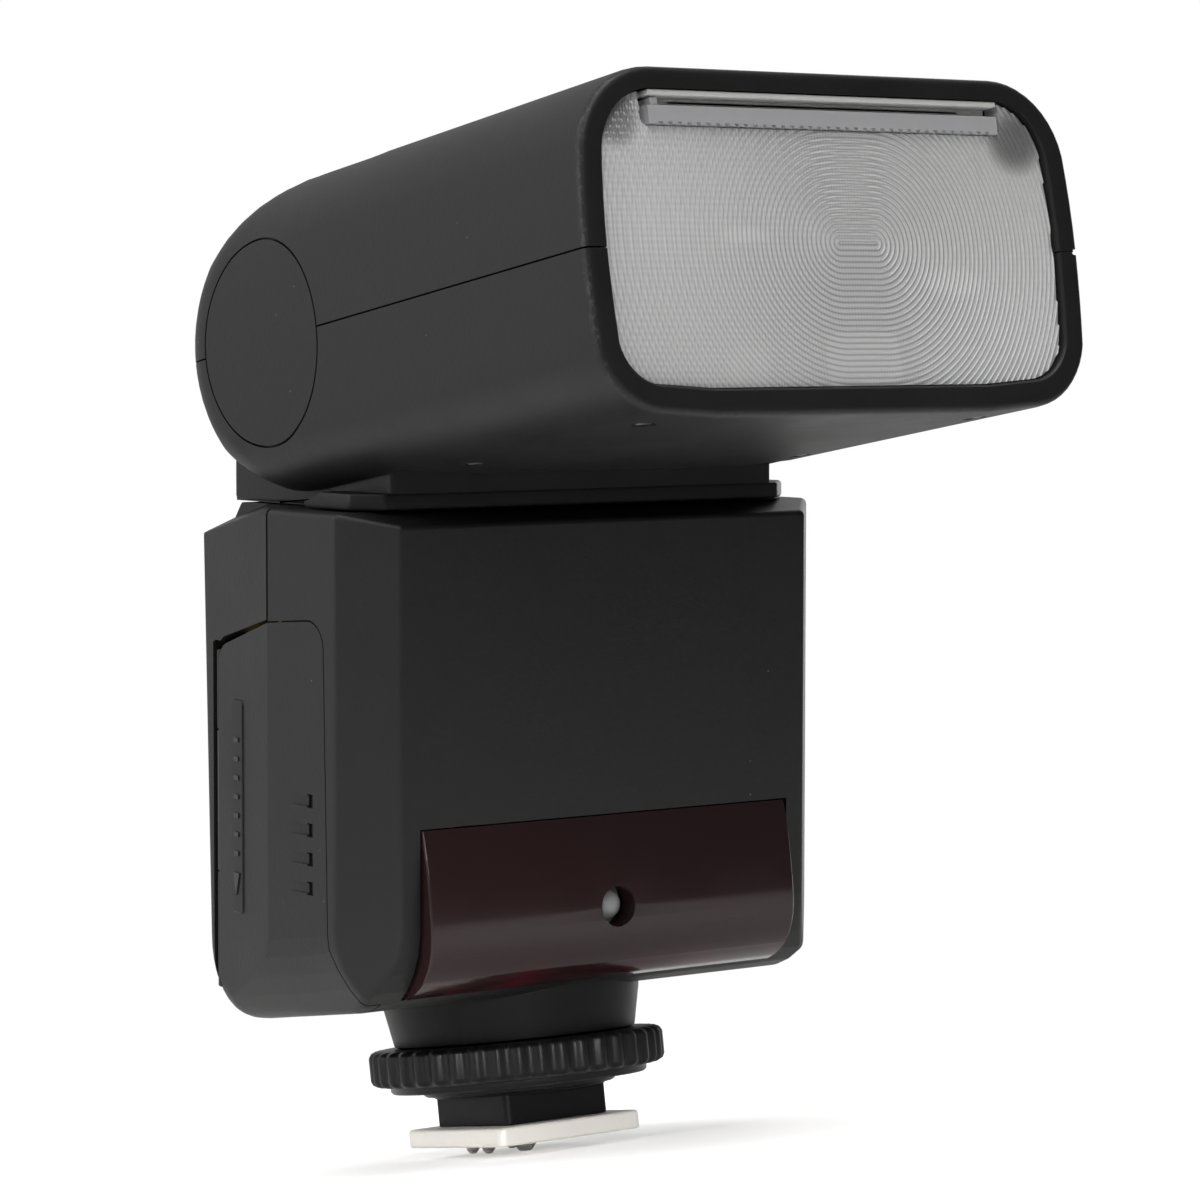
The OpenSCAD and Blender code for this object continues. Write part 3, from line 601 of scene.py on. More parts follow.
BLACK = plastic('black_moulded', (0.0125, 0.0122, 0.0124), rough=0.46, grain=0.30, wear=0.26,
                spec=0.34)
FRONT = plastic('black_front', (0.0105, 0.0103, 0.0106), rough=0.42, grain=0.16, wear=0.4,
                spec=0.32)
KNOB = plastic('black_knob', (0.0065, 0.0064, 0.0067), rough=0.36, grain=0.16, dust=1.6,
               spec=0.26)
NECK = plastic('black_neck', (0.0050, 0.0050, 0.0052), rough=0.45, grain=0.2, spec=0.18)
GLOSS = plastic('black_gloss', (0.012, 0.012, 0.013), rough=0.16, grain=0.03, coat=0.4, dust=1.2)
KEYS = plastic('key_plastic', (0.035, 0.035, 0.037), rough=0.5, grain=0.25)
KEY_RED = plastic('key_red_plastic', (0.30, 0.025, 0.022), rough=0.45, grain=0.2)
RUBBER = plastic('rubber', (0.026, 0.026, 0.026), rough=0.62, grain=0.5, grain_scale=3600)
DARK = plastic('dark_inner', (0.04, 0.04, 0.043), rough=0.5, grain=0.3)
WHITE = plastic('white_card', (0.80, 0.80, 0.78), rough=0.5, grain=0.1, dust=0.0, spread=0.03)
BOARD = plastic('board_green', (0.012, 0.11, 0.05), rough=0.35, grain=0.1, dust=0.4)
WRAP = metal('cell_wrap', (0.62, 0.48, 0.16), rough=0.3, relief=0.05)
FOOT = metal('foot_metal', (0.97, 0.935, 0.87), rough=0.42, brush=(700, 700, 700), relief=0.25,
             metallic=0.12, spread=0.03)
CONTACT = metal('contact_metal', (0.82, 0.74, 0.56), rough=0.25)
STEEL = metal('steel', (0.55, 0.55, 0.57), rough=0.3)
MIRROR = metal('reflector_metal', (0.90, 0.90, 0.92), rough=0.20, brush=(900, 60, 60),
               relief=0.06)
LENS = lens_material()
PANEL = clear('panel_clear', base=(0.86, 0.86, 0.88), rough=0.16, ripple=0.3, transmission=0.45)
TUBE = clear('tube_glass', rough=0.02)
SENSOR = clear('sensor_dome', base=(0.42, 0.42, 0.43), rough=0.22, transmission=0.35)
GLASS = clear('display_glass', base=(0.75, 0.78, 0.78), rough=0.05, transmission=0.85)
RED = red_window_material()

# ---------------------------------------------------------------- body form, mm, raked frame
HALF_W = 30.95
FRONT_Y, BACK_Y, TOP_Z = -17.4, 17.2, 69.1
SHOULDER_Y = 0.4                    # where the sides turn in toward the back
BACK_X = 28.4
CHIN_X, CHIN_Y = 26.3, -12.15       # corner facets beside the front
# plan outline (x, y)
PLAN = [(-CHIN_X, FRONT_Y), (CHIN_X, FRONT_Y), (HALF_W, CHIN_Y), (HALF_W, SHOULDER_Y),
        (BACK_X, BACK_Y), (-BACK_X, BACK_Y), (-HALF_W, SHOULDER_Y), (-HALF_W, CHIN_Y)]
# side outline (y, z)
SIDE = ([(FRONT_Y, 26.5), (-17.1, 24.2), (-16.3, 22.2), (-15.0, 20.2), (-13.3, 18.6),
         (-11.5, 17.75)] + arc(9.0, 22.64, 8.2, -99.4, 0, 9)
        + [(BACK_Y, 66.0), (14.8, TOP_Z), (CHIN_Y, TOP_Z), (FRONT_Y, 68.0)])
# battery door outline (y, z)
DOOR = without_twins(
    [(13.0, 10), (13.0, 51.8)] + arc(10.4, 51.9, 2.6, 0, 72, 5) + [(0.4, 57.3)]
    + arc(-7.3, 55.1, 2.8, 86, 178, 6) + [(-10.8, 24.6), (-13.6, 18.6), (-13.6, 10)])
DOOR_HINGE = (-27.9, 13.0, 0)
JACK = (0, 9, 45)
FLAP_HINGE = (28.7, 11.2, 0)


def shoulder(side):
    """The upper corner where the side turns in, at +x or -x."""
    return Vector((HALF_W * side, SHOULDER_Y, TOP_Z))


def body_planes(depth):
    """Planes of the body's form, all moved in by depth."""
    planes = []
    for a, b in zip(PLAN, PLAN[1:] + PLAN[:1]):
        normal = Vector((b[1] - a[1], -(b[0] - a[0]), 0)).normalized()
        planes.append((Vector((a[0], a[1], 40)) - normal * depth, normal))
    for a, b in zip(SIDE, SIDE[1:] + SIDE[:1]):
        normal = Vector((0, b[1] - a[1], -(b[0] - a[0]))).normalized()
        planes.append((Vector((0, a[0], a[1])) - normal * depth, normal))
    # the top's rear corners fall away
    slope = (Matrix.Rotation(math.radians(18.95), 4, 'Z')
             @ Matrix.Rotation(math.radians(48), 4, 'Y') @ Vector((0, 0, 1)))
    for side in (1, -1):
        normal = Vector((slope.x * side, slope.y, slope.z))
        planes.append((shoulder(side) - normal * depth, normal))
    # the sides draw in a little towards the level underside
    upright = RAKED.inverted()
    for side in (1, -1):
        for turn in (6, 14, 22, 30):
            c, s = math.cos(math.radians(turn)), math.sin(math.radians(turn))
            normal = (upright.to_3x3() @ Vector((side * c, 0, -s))).normalized()
            point = upright @ Vector((side * (16.45 + 14.5 * c), 0, 24.8 - 14.5 * s))
            planes.append((point - normal * depth, normal))
    return planes


def rounded_corners(radius, keep):
    """Points on the corners of the body rounded by radius.

    Each corner is moved in by the radius and given the cap of directions its faces span."""
    form = half_spaces(body_planes(radius))
    bm = opened(form)
    bmesh.ops.remove_doubles(bm, verts=bm.verts, dist=0.01)
    bm.normal_update()
    points = []
    for v in bm.verts:
        if not keep(v.co):
            continue
        directions = [f.normal.copy() for f in v.link_faces]
        middle = sum(directions, Vector()).normalized()
        directions.append(middle)
        for e in v.link_edges:
            if len(e.link_faces) != 2:
                continue
            a, b = e.link_faces[0].normal, e.link_faces[1].normal
            steps = max(1, round(math.degrees(a.angle(b, 0)) / 14))
            for i in range(1, steps):
                between = a.slerp(b, i / steps)
                directions.append(between)
                for share in (.33, .67):
                    directions.append(between.slerp(middle, share))
        points += [v.co + radius * d for d in directions]
    bm.free()
    remove(form)
    return points


def hull(points):
    bm = bmesh.new()
    for point in points:
        bm.verts.new(point)
    bmesh.ops.remove_doubles(bm, verts=bm.verts, dist=0.004)
    result = bmesh.ops.convex_hull(bm, input=bm.verts)
    unused = {g for g in result['geom_interior'] + result['geom_unused']
              if isinstance(g, bmesh.types.BMVert)}
    bmesh.ops.delete(bm, geom=list(unused), context='VERTS')
    bmesh.ops.dissolve_limit(bm, angle_limit=math.radians(0.3), verts=bm.verts, edges=bm.edges)
    bmesh.ops.recalc_face_normals(bm, faces=bm.faces)
    return mesh_object(bm)


OUTER = hull(rounded_corners(0.7, lambda p: p.z > 30)
             + rounded_corners(1.3, lambda p: p.z < 30 and p.y < -9.5)
             + rounded_corners(3.2, lambda p: p.z < 27 and p.y > -9.5))


def skin(thickness):
    """A hollow copy of the body's outer form."""
    return cut(duplicate(OUTER), half_spaces(body_planes(thickness)))


SHELL = skin(1.4)

# ---------------------------------------------------------------- housings and door
SPLIT_FRONT, SPLIT_REAR = 0.23, 0.57    # y of the two sides of the housing seam
# openings for the controls
KEY_PLACES = {'mode': (-19.5, 37.4), 'menu': (19.5, 37.4),
              'wireless': (-19.5, 29.4), 'test': (19.5, 29.4)}
DISPLAY_Z, DIAL_Z, POWER_Z = 53.2, 30, 22.6


def housing(y0, y1):
    shell = duplicate(SHELL)
    intersect(shell, box(-60, 60, y0, y1, -10, 120))
    return cut(shell, prism(inset(DOOR, -0.16), 'x', -60, -CHIN_X))


def post_bore():
    return cylinder(9.1, 60, 80, 64, centre=POST)


def bevel_seam(ob, y):
    bevel_edges(ob, lambda e: lies_at(e, 1, y, .02) and fold(e) > 60, 0.16, 2)


def cut_controls(ob, display_w, display_h, display_y):
    cut(ob, prism(rounded_rect(display_w, display_h, 1, 6, 0, DISPLAY_Z), 'y', display_y, 25))
    for x, z in KEY_PLACES.values():
        cut(ob, prism(rounded_rect(9.9, 5.1, 1.2, 5, x, z), 'y', 12, 25))
    cut(ob, cylinder(5.2, 12, 25, 48, 'y', (0, 0, DIAL_Z)),
        prism(rounded_rect(9.2, 2.4, .6, 4, -19.5, POWER_Z), 'y', 12, 25))


def front_shell():
    front = housing(-60, SPLIT_FRONT)
    cut(front, box(-24.0, 24.0, -30, -13, 19.05, 37.0), post_bore())
    bevel_seam(front, SPLIT_FRONT)
    ledge = [(-29.28, 56.7), (-28.8, 56.7), (-28.8, 59.2), (-29.9, 59.2), (-29.9, 58.2),
             (-29.28, 57.9)]
    unite(front, prism(ledge, 'y', -6.6, SPLIT_FRONT))
    finish(front, 'front_shell', RAKED, 'body', BLACK, 'front_housing')


def corner_wedge(side):
    """What the rear housing loses at a top corner, outside the turret's footprint."""
    normal = Vector((0.359 * side, 0.236, 0.903)).normalized()
    across = Vector((0, 1, 0)).cross(normal).normalized()
    along = normal.cross(across)
    bm = bmesh.new()
    low = [bm.verts.new(shoulder(side) + across * a + along * b)
           for a, b in ((-40, -60), (40, -60), (40, 60), (-40, 60))]
    high = [bm.verts.new(v.co + normal * 20) for v in low]
    bm.faces.new(low[::-1])
    bm.faces.new(high)
    for i in range(4):
        k = (i + 1) % 4
        bm.faces.new((low[i], low[k], high[k], high[i]))
    bmesh.ops.recalc_face_normals(bm, faces=bm.faces)
    return cut(mesh_object(bm), box(-24.9, 24.9, -60, 16.3, 40, 120))


def rear_shell():
    rear = housing(SPLIT_REAR, 60)
    ledge = [(SPLIT_REAR, 56.6), (SPLIT_REAR, 59.6), (9.0, 57.2), (9.0, 54.0)]
    unite(rear, prism(ledge, 'x', -29.0, -28.4))
    cut_controls(rear, 39.4, 19.4, 13)
    door_room = ([(12.0, 10), (14.4, 10), (14.4, 50.5)] + arc(10.4, 51.9, 3.4, 8, 72, 6)
                 + [(0.51, 57.62), (0.51, 50)])
    cut(rear, cylinder(2.1, 22, 40, 40, 'x', JACK),
        box(25, 40, 6.5, 11.5, 31.6, 41.6),
        cylinder(1.05, 31.6, 41.6, 32, centre=FLAP_HINGE),
        post_bore(),
        cylinder(1.4, 5, 54.6, 32, centre=DOOR_HINGE),
        prism(door_room, 'x', -60, -27.7),
        box(-40, -27.7, 13.2, 14.4, 10, 54.4))
    for side in (1, -1):
        cut(rear, corner_wedge(side))
    bevel_seam(rear, SPLIT_REAR)
    finish(rear, 'rear_shell', RAKED, 'body', BLACK, 'rear_housing')


def battery_door():
    def rim(e):
        points = [v.co for v in e.verts]
        return (fold(e) > 55 and max(p.x for p in points) < -26.0
                and all(abs(p.z - 15.4) > 3.5 for p in points)
                and all(p.x < -28.0 - (0.6 if p.y < 12 else 0) for p in points))

    door = intersect(skin(1.6), prism(DOOR, 'x', -60, -26.5))
    bevel_edges(door, rim, 0.28, 2)
    for i in range(4):
        # a notch with a shallow ramp running from it
        z = 30.5 + 3 * i
        ramp_points = [(-31.6, -7.2), (-30.72, -7.2), (-31.02, -2.4), (-31.6, -2.4)]
        cut(door, box(-31.6, -30.45, -8.15, -7.1, z - .7, z + .7),
            prism(ramp_points, 'z', z - .55, z + .55))
    cut(door, box(-40, -20, 13.0, 20, 5, 17.5), box(-40, -20, 13.0, 20, 53.6, 60))
    finish(door, 'door_shell', RAKED, 'door', BLACK, 'battery_door')

    knuckles = [lathe([(0.56, z0), (1.0, z0), (1.12, z0 + .12), (1.12, z1 - .12), (1.0, z1),
                       (0.56, z1)], 28, centre=DOOR_HINGE)
                for z0, z1 in ((17.5, 29.9), (45.1, 53.6))]
    finish(join(*knuckles), 'door_hinge_knuckles', RAKED, 'door', BLACK)


def door_pad():
    """A raised pad on the door's rear facet, with an arrow of bars."""
    along = Vector((HALF_W - BACK_X, BACK_Y - SHOULDER_Y, 0)).normalized()
    # facet frame: x along the facet, y up, z out of it
    facet = RAKED @ Matrix(((along.x, 0, -along.y, -HALF_W), (along.y, 0, along.x, SHOULDER_Y),
                            (0, 1, 0, 0), (0, 0, 0, 1)))
    middle = 7.65
    pad = prism(rounded_rect(2.9, 22.6, 0.6, 6, middle, 37.4), 'z', -0.4, 0.16)
    bevel_all(pad, 0.16)
    finish(pad, 'door_pad', facet, 'door', KNOB)
    arrow = [prism([(6.85, 30.4), (8.45, 30.4), (middle, 28.0)], 'z', 0.2, 0.30)]
    for z in (32.2, 34.2, 36.2, 38.2, 40.2, 42.2, 44.2):
        arrow.append(prism([(7.1, z), (8.2, z), (8.2, z + .5), (7.1, z + .5)], 'z', 0.2, 0.28))
    finish(join(*arrow), 'door_arrow', facet, 'door', KEYS)


# window section (y, z): outer face downward, then inner face upward
WINDOW = [
    (-17.35, 36.85), (-17.9, 34.8), (-18.4, 32.6), (-18.8, 30.0), (-19.1, 27.5), (-19.2, 26.1),
    (-19.15, 24.8), (-18.92, 23.56), (-18.5, 22.48), (-17.85, 21.48), (-17.0, 20.7),
    (-15.9, 19.86), (-14.6, 19.2),
    (-13.4, 19.2), (-14.6, 21.0), (-15.9, 22.8), (-16.7, 24.9), (-16.8, 27.6), (-16.4, 32.2),
    (-16.0, 36.85)]
WINDOW_X = 23.75
SENSOR_AT = (0, 0, 27.4)


def window():
    def end_edge(e):
        a, b = (v.co for v in e.verts)
        return (fold(e) > 60 and abs(abs(a.x) - WINDOW_X) < .01 and abs(a.x - b.x) < .01
                and max(a.y, b.y) < -17.0)

    pane = prism(WINDOW, 'x', -WINDOW_X, WINDOW_X)
    bevel_edges(pane, end_edge, 0.9, 4)
    cut(pane, cylinder(2.15, -25, -10, 40, 'y', SENSOR_AT))
    finish(pane, 'window', RAKED, 'body', RED, 'red_window')
    dome = lathe([(0, -18.3), (0.7, -18.15), (1.25, -17.7), (1.6, -17.1), (1.7, -16.6),
                  (1.7, -15.6), (2.6, -15.6), (2.6, -13.4), (0, -13.4)], 40, 'y', SENSOR_AT)
    finish(dome, 'sensor_dome', RAKED, 'body', SENSOR, 'light_sensor')


front_shell()
rear_shell()
battery_door()
door_pad()
window()

# ---------------------------------------------------------------- foot, mm, world frame
WHEEL_R = 16.0
BLOCK_Z = 2.01                      # underside of the neck's square block
SIGNAL_PINS = [(-2.6, 3.2), (2.6, 3.2), (-2.6, 6.2), (2.6, 6.2)]
PLATE_SCREWS = [(-4.9, -4.7), (4.9, -4.7), (-5.35, 4.7), (5.35, 4.7)]


def lock_wheel():
    def profile(across):
        depth = 0.0
        if across < 0.95:
            depth = max(0.0, WHEEL_R - (16.45 - math.sqrt(.95 ** 2 - across ** 2)))
        r = WHEEL_R - depth
        if depth == 0:
            # rounded ridges between the flutes
            r = 15.98 - 0.28 * (1 - clamp((across - 0.72) / 0.475)) ** 2
        return [(9.4, 10.9), (r - 1.5, 10.9), (r - 0.75, 10.84), (r - 0.25, 10.62), (r, 10.2),
                (r, 7.75), (r - 0.2, 7.3), (r - 0.7, 7.0), (max(r - 1.2, 13.95), 6.95),
                (13.9, 6.9), (13.9, 6.35), (13.65, 6.1), (9.65, 6.1), (9.4, 6.3)]

    finish(fluted(42, 10, WHEEL_R, profile), 'fluted_wheel', WORLD, 'wheel', KNOB,
           'lock_wheel', sharp=50)
    disc = lathe([(9.4, 5.45), (10.1, 5.45), (10.35, 5.6), (10.4, 5.85), (10.4, 6.05),
                  (9.4, 6.05)])
    finish(disc, 'clamp_disc', WORLD, 'clamp', KNOB, 'clamp_ring')


def neck():
    cone = lathe([(0, 11.0), (12.7, 11.0), (13.05, 11.15), (13.15, 11.6), (13.9, 15.4),
                  (14.1, 17.4), (0, 17.4)])
    body = duplicate(OUTER)
    body.data.transform(RAKED)
    cut(cone, body)
    stem = lathe([(0, 5.2), (9.2, 5.2), (9.34, 5.35), (9.34, 11.2), (0, 11.2)], 72)
    block = prism(rounded_rect(13.4, 13.4, 0.7, 5), 'z', BLOCK_Z, 5.6)
    bevel_edges(block, lambda e: fold(e) > 60 and lies_at(e, 2, BLOCK_Z), 0.2, 2)
    finish(join(cone, stem, block), 'neck', WORLD, 'body', NECK, 'foot_stem')


def pin_bushes():
    bushes = [lathe([(1.35, 0.12), (2.1, 0.12), (2.26, 0.3), (2.26, 2.4), (1.35, 2.4)], 48)]
    for x, y in SIGNAL_PINS:
        bushes.append(lathe([(0.75, 0.1), (1.18, 0.1), (1.27, 0.2), (1.27, 2.4), (0.75, 2.4)],
                            36, centre=(x, y, 0)))
    finish(join(*bushes), 'pin_bushes', WORLD, 'body', BLACK)


def shoe_plate():
    plate = prism(rounded_rect(18.6, 18.0, 0.9, 6), 'z', 0, 2)
    bevel_edges(plate, lambda e: fold(e) > 50 and lies_at(e, 2, e.verts[0].co.z), 0.34, 4)
    cut(plate, cylinder(2.3, -1, 3, 48))
    for x, y in SIGNAL_PINS:
        cut(plate, cylinder(1.3, -1, 3, 36, centre=(x, y, 0)))
    for x, y in PLATE_SCREWS:
        cut(plate, lathe([(0, -1), (1.36, -1), (1.36, 0.0), (.9, .7), (.9, 3), (0, 3)], 36,
                         centre=(x, y, 0)))
    finish(plate, 'shoe_plate', WORLD, 'body', FOOT, 'foot_plate')


def pin(r, x, y):
    tip = -1.3
    return lathe([(0, tip), (r * .40, tip), (r * .52, tip + .05), (r * .93, tip + r * .52),
                  (r, tip + r * .75), (r, 3.2), (0, 3.2)], 36, centre=(x, y, 0))


def pins():
    finish(pin(1.3, 0, 0), 'centre_pin_tip', WORLD, 'centre_pin', FOOT,
           'centre_contact')
    finish(join(*[pin(.7, x, y) for x, y in SIGNAL_PINS]), 'signal_pin_tips', WORLD,
           'signal_pins', FOOT, 'signal_contacts')


def plate_screws():
    screws = []
    for x, y in PLATE_SCREWS:
        screw = lathe([(0, 0.05), (1.15, 0.02), (1.28, 0.08), (.8, .6), (0, .6)], 36,
                      centre=(x, y, 0))
        for angle in (0, math.pi / 2):
            slot = box(-.75, .75, -.14, .14, -.2, .3)
            slot.data.transform(Matrix.Translation((x, y, 0))
                                @ Matrix.Rotation(angle + .4, 4, 'Z'))
            cut(screw, slot)
        screws.append(screw)
    finish(join(*screws), 'plate_screw_heads', WORLD, 'body', STEEL, 'foot_screws')


lock_wheel()
neck()
pin_bushes()
shoe_plate()
pins()
plate_screws()

# ---------------------------------------------------------------- head form, mm, head frame
HEAD_W = 31.1                       # half width
HEAD_TOP, HEAD_BOTTOM = 17.4, 16.1  # heights above and below the axle
TOP_FLAT, BOTTOM_FLAT = 21.5, 23.1  # half widths of the long flat edges
HEAD_R = 16.4                       # radius of the round end about the axle
MOUTH_Y = 57.0
SEAM_Z = 0.085
HEAD_SCREWS = [(x, y) for x in (-21, 21) for y in (22, 50)]


def head_outline(depth):
    """Front outline (x, z) of the head, moved in by depth."""
    points = arc(BOTTOM_FLAT, -7.9, 7.8, -90, -12, 10)
    x, z = points[-1]
    points += [(x + (HEAD_W - x) * (1 - (1 - k) ** 2), z * (1 - k)) for k in (.25, .5, .75)]
    points.append((HEAD_W, 0))
    upper = arc(TOP_FLAT, 8.2, 9.2, 10, 90, 10)
    x, z = upper[0]
    points += [(HEAD_W + (x - HEAD_W) * k * k, z * k) for k in (.25, .5, .75)]
    points += upper
    other_side = [(-x, z) for x, z in points[::-1]]
    # the long top and bottom edges get their own points
    points += [(TOP_FLAT * (1 - k / 4), HEAD_TOP) for k in range(1, 8)]
    points += other_side
    points += [(-BOTTOM_FLAT * (1 - k / 4), -HEAD_BOTTOM) for k in range(1, 8)]
    points = without_twins(points)
    return inset(points, depth) if depth else points


OUTLINE = head_outline(0)
# right-hand profile (z, half width) from bottom to top
CHEEK = ([(-HEAD_BOTTOM, BOTTOM_FLAT)]
         + sorted((z, x) for x, z in OUTLINE if x > 20 and abs(z) < HEAD_TOP - .01)
         + [(HEAD_TOP, TOP_FLAT)])


def half_width(z):
    z = max(-HEAD_BOTTOM, min(HEAD_TOP, z))
    for (z0, x0), (z1, x1) in zip(CHEEK[:-1], CHEEK[1:]):
        if z0 <= z <= z1:
            return x0 + (x1 - x0) * (z - z0) / (z1 - z0)


def round_height(y):
    return math.sqrt(max(0.0, HEAD_R ** 2 - y * y)) if abs(y) < HEAD_R else 0.0


def top_height(y):
    if y >= 7.5:
        return HEAD_TOP
    if y <= 1.0:
        return round_height(y)
    k = (y - 1.0) / 6.5
    return round_height(1.0) + (HEAD_TOP - round_height(1.0)) * (k * 1.5 - 0.5 * k ** 3)


def bottom_height(y):
    return HEAD_BOTTOM if y >= -3.16 else min(HEAD_BOTTOM, round_height(y))


def section(y):
    """The head's outline at y; behind the axle its sides round over by edge_r."""
    top, bottom = max(top_height(y), 0.02), max(bottom_height(y), 0.02)
    ease = clamp((2.0 - y) / 12)
    edge_r = 1.0 + 4.0 * ease * ease * (3 - 2 * ease)
    ring = []
    for x, z in OUTLINE:
        if z > 0:
            height, full, flat = top, HEAD_TOP, TOP_FLAT
        else:
            height, full, flat = bottom, HEAD_BOTTOM, BOTTOM_FLAT
        ring_z = z / full * height
        into = 0.0
        if y < 2.9:
            into = max(0.0, min(edge_r, math.hypot(y, ring_z) - (HEAD_R - edge_r)))
        draw_in = edge_r - math.sqrt(max(0.0, edge_r * edge_r - into * into))
        if y > -2:
            draw_in *= clamp((2.9 - y) / 4.9)
        half = half_width(ring_z) - draw_in
        if abs(z) < full - 1e-4:
            ring_x = math.copysign(max(half, 1.0), x)
        else:
            ring_x = x / flat * half
        ring.append((ring_x, y, ring_z))
    return ring


def rise(z):
    """The opening reaches a little closer to the top than to the other sides."""
    return 0.62 * clamp((z - 6) / 8.7)


def head_form():
    """The head as one sleeve: round end, outside, rolled lip, then back down inside."""
    rings = [section(-16.395 * math.cos(math.radians(90 * i / 32))) for i in range(33)]
    rings += [section(y) for y in (1.0, 2.0, 3.0, 4.0, 5.0, 6.0, 7.5, 9, 18, 30, 42, 52, 55.9)]
    for i in range(1, 5):
        a = math.radians(90 * i / 4)
        rings.append([(x, 56.25 + .75 * math.sin(a), z)
                      for x, z in head_outline(.75 * (1 - math.cos(a)))])
    for depth in (1.15, 2.2):
        rings.append([(x, MOUTH_Y, z) for x, z in head_outline(depth)])
    for i in range(1, 4):
        a = math.radians(90 * i / 3)
        rings.append([(x, MOUTH_Y - .45 * (1 - math.cos(a)), z + rise(z) * math.sin(a))
                      for x, z in head_outline(2.25 + .45 * math.sin(a))])
    rings.append([(x, 54.0, z + rise(z)) for x, z in head_outline(2.7)])
    rings.append([(x, 54.0, z) for x, z in head_outline(1.6)])
    rings.append([(x, 18.0, z) for x, z in head_outline(1.6)])
    return loft(rings)


# ---------------------------------------------------------------- head pieces
def rim_distance(x, z):
    """Distance from a point to the head's outline."""
    distances = []
    for a, b in zip(OUTLINE, OUTLINE[1:] + OUTLINE[:1]):
        dx, dz = b[0] - a[0], b[1] - a[1]
        t = clamp(((x - a[0]) * dx + (z - a[1]) * dz) / (dx * dx + dz * dz))
        distances.append(math.hypot(x - a[0] - t * dx, z - a[1] - t * dz))
    return min(distances)


def rim_wear(p):
    """How rubbed the mouth's rim is at a point, most on the -x side."""
    if p.y < 56.3:
        return 0.0
    distance = rim_distance(p.x, p.z)
    if distance > 0.45:
        return 0.0
    crest = 1.0 if 0.02 < distance < 0.35 and p.y > 56.5 else 0.15
    return crest * (0.85 if p.x < -26 else (0.35 if abs(p.z) > 10 else 0.2))


def hollow_head(form):
    head = duplicate(form)
    slot_x = 25.3
    slot = box(-slot_x, slot_x, -40, 16.4, -40, 40)

    def upright_corner(e):
        a, b = (v.co for v in e.verts)
        return abs(abs(a.x) - slot_x) < .01 and abs(a.z - b.z) > 10 and a.y > 0

    bevel_edges(slot, upright_corner, 1.2, 4)
    cut(head, slot, cylinder(5.06, -40, 40, 48, 'x'))
    for side in (1, -1):
        cut(head, cylinder(10.85, 29.8 * side, 40 * side, 96, 'x'),
            cylinder(7.6, 28.4 * side, 40 * side, 48, 'x'))
        if side > 0:
            # nick where the seam meets the rim
            cut(head, box(30.2, 31.6, 56.2, 58, -.32, .32))
    return head


def head_half(head, name, z0, z1, seam, replaced):
    half = duplicate(head)
    intersect(half, box(-60, 60, -40, 90, z0, z1))
    if replaced == 'head_lower':
        for x, y in HEAD_SCREWS:
            cut(half, cylinder(1.2, -30, -14, 32, centre=(x, y, 0)))

    def seam_edge(e):
        p = e.verts[0].co
        return lies_at(e, 2, seam) and fold(e) > 60 and (abs(p.x) > 30.2 or p.y < -12
                                                         or p.y > 56.5)

    bevel_edges(half, seam_edge, 0.14, 2)
    finish(half, name, HEAD, 'head', BLACK, replaced)
    wear = half.data.attributes.new('wear', 'FLOAT', 'POINT')
    to_head = HEAD.inverted()
    for i, v in enumerate(half.data.vertices):
        wear.data[i].value = rim_wear(to_head @ (v.co * 1000))


def cheek_discs(form):
    """Round caps that follow the bowed cheeks."""
    def rim(e):
        reach = [abs(v.co.x) for v in e.verts]
        return fold(e) > 60 and max(reach) > 30.0 and min(reach) > 29.95

    discs = []
    for side in (1, -1):
        disc = duplicate(form)
        intersect(disc, cylinder(10.62, 29.85 * side, 40 * side, 96, 'x'))
        discs.append(bevel_edges(disc, rim, 0.12, 2))
    finish(join(*discs), 'cheek_discs', HEAD, 'head', BLACK, 'hinge_caps')


def fresnel():
    """The lens, with real ring ridges that grow steeper outward."""
    face = 56.3
    steps = 144

    def ring(r, y):
        angles = [2 * math.pi * j / steps for j in range(steps)]
        return [(RING_X + RING_STRETCH * max(-1, min(1, math.cos(a) * 3)) + r * math.cos(a), y,
                 RING_Z + r * math.sin(a)) for a in angles]

    rings = [ring(0.02, face - .02)]
    r = RING_PITCH
    while r < 42:
        depth = max(0.13, RING_PITCH * math.tan(math.radians(25) * min(1, r / 30)))
        rings += [ring(r - .04, face - .01 - depth), ring(r, face - .01)]
        r += RING_PITCH
    rings += [ring(r, face - .05), ring(r, face - 2), ring(0.02, face - 2)]
    lens = loft(rings)
    intersect(lens, prism([(x, z + rise(z)) for x, z in head_outline(2.86)], 'y', 40, 60))
    # room above for the pull-out sheets
    cut(lens, prism([(-22.2, 11.75), (22.2, 11.75), (22.7, 12.3), (22.7, 20), (-22.7, 20),
                     (-22.7, 12.3)], 'y', 40, 60))
    finish(lens, 'fresnel', HEAD, 'head', LENS, 'fresnel_lens', sharp=12,
           weighted=False)


def lens_surround():
    opening = [(-26.3, -10), (-24, -12.2), (24, -12.2), (26.3, -10), (27.0, 0), (26.0, 9.0),
               (24.2, 11.2), (-24.2, 11.2), (-26.0, 9.0), (-27.0, 0)]
    surround = prism(head_outline(1.75), 'y', 51.25, 52.95)
    cut(surround, box(-60, 60, 40, 60, 12.3, 40), prism(opening, 'y', 40, 60))
    finish(surround, 'lens_surround', HEAD, 'head', DARK, 'lens_frame')


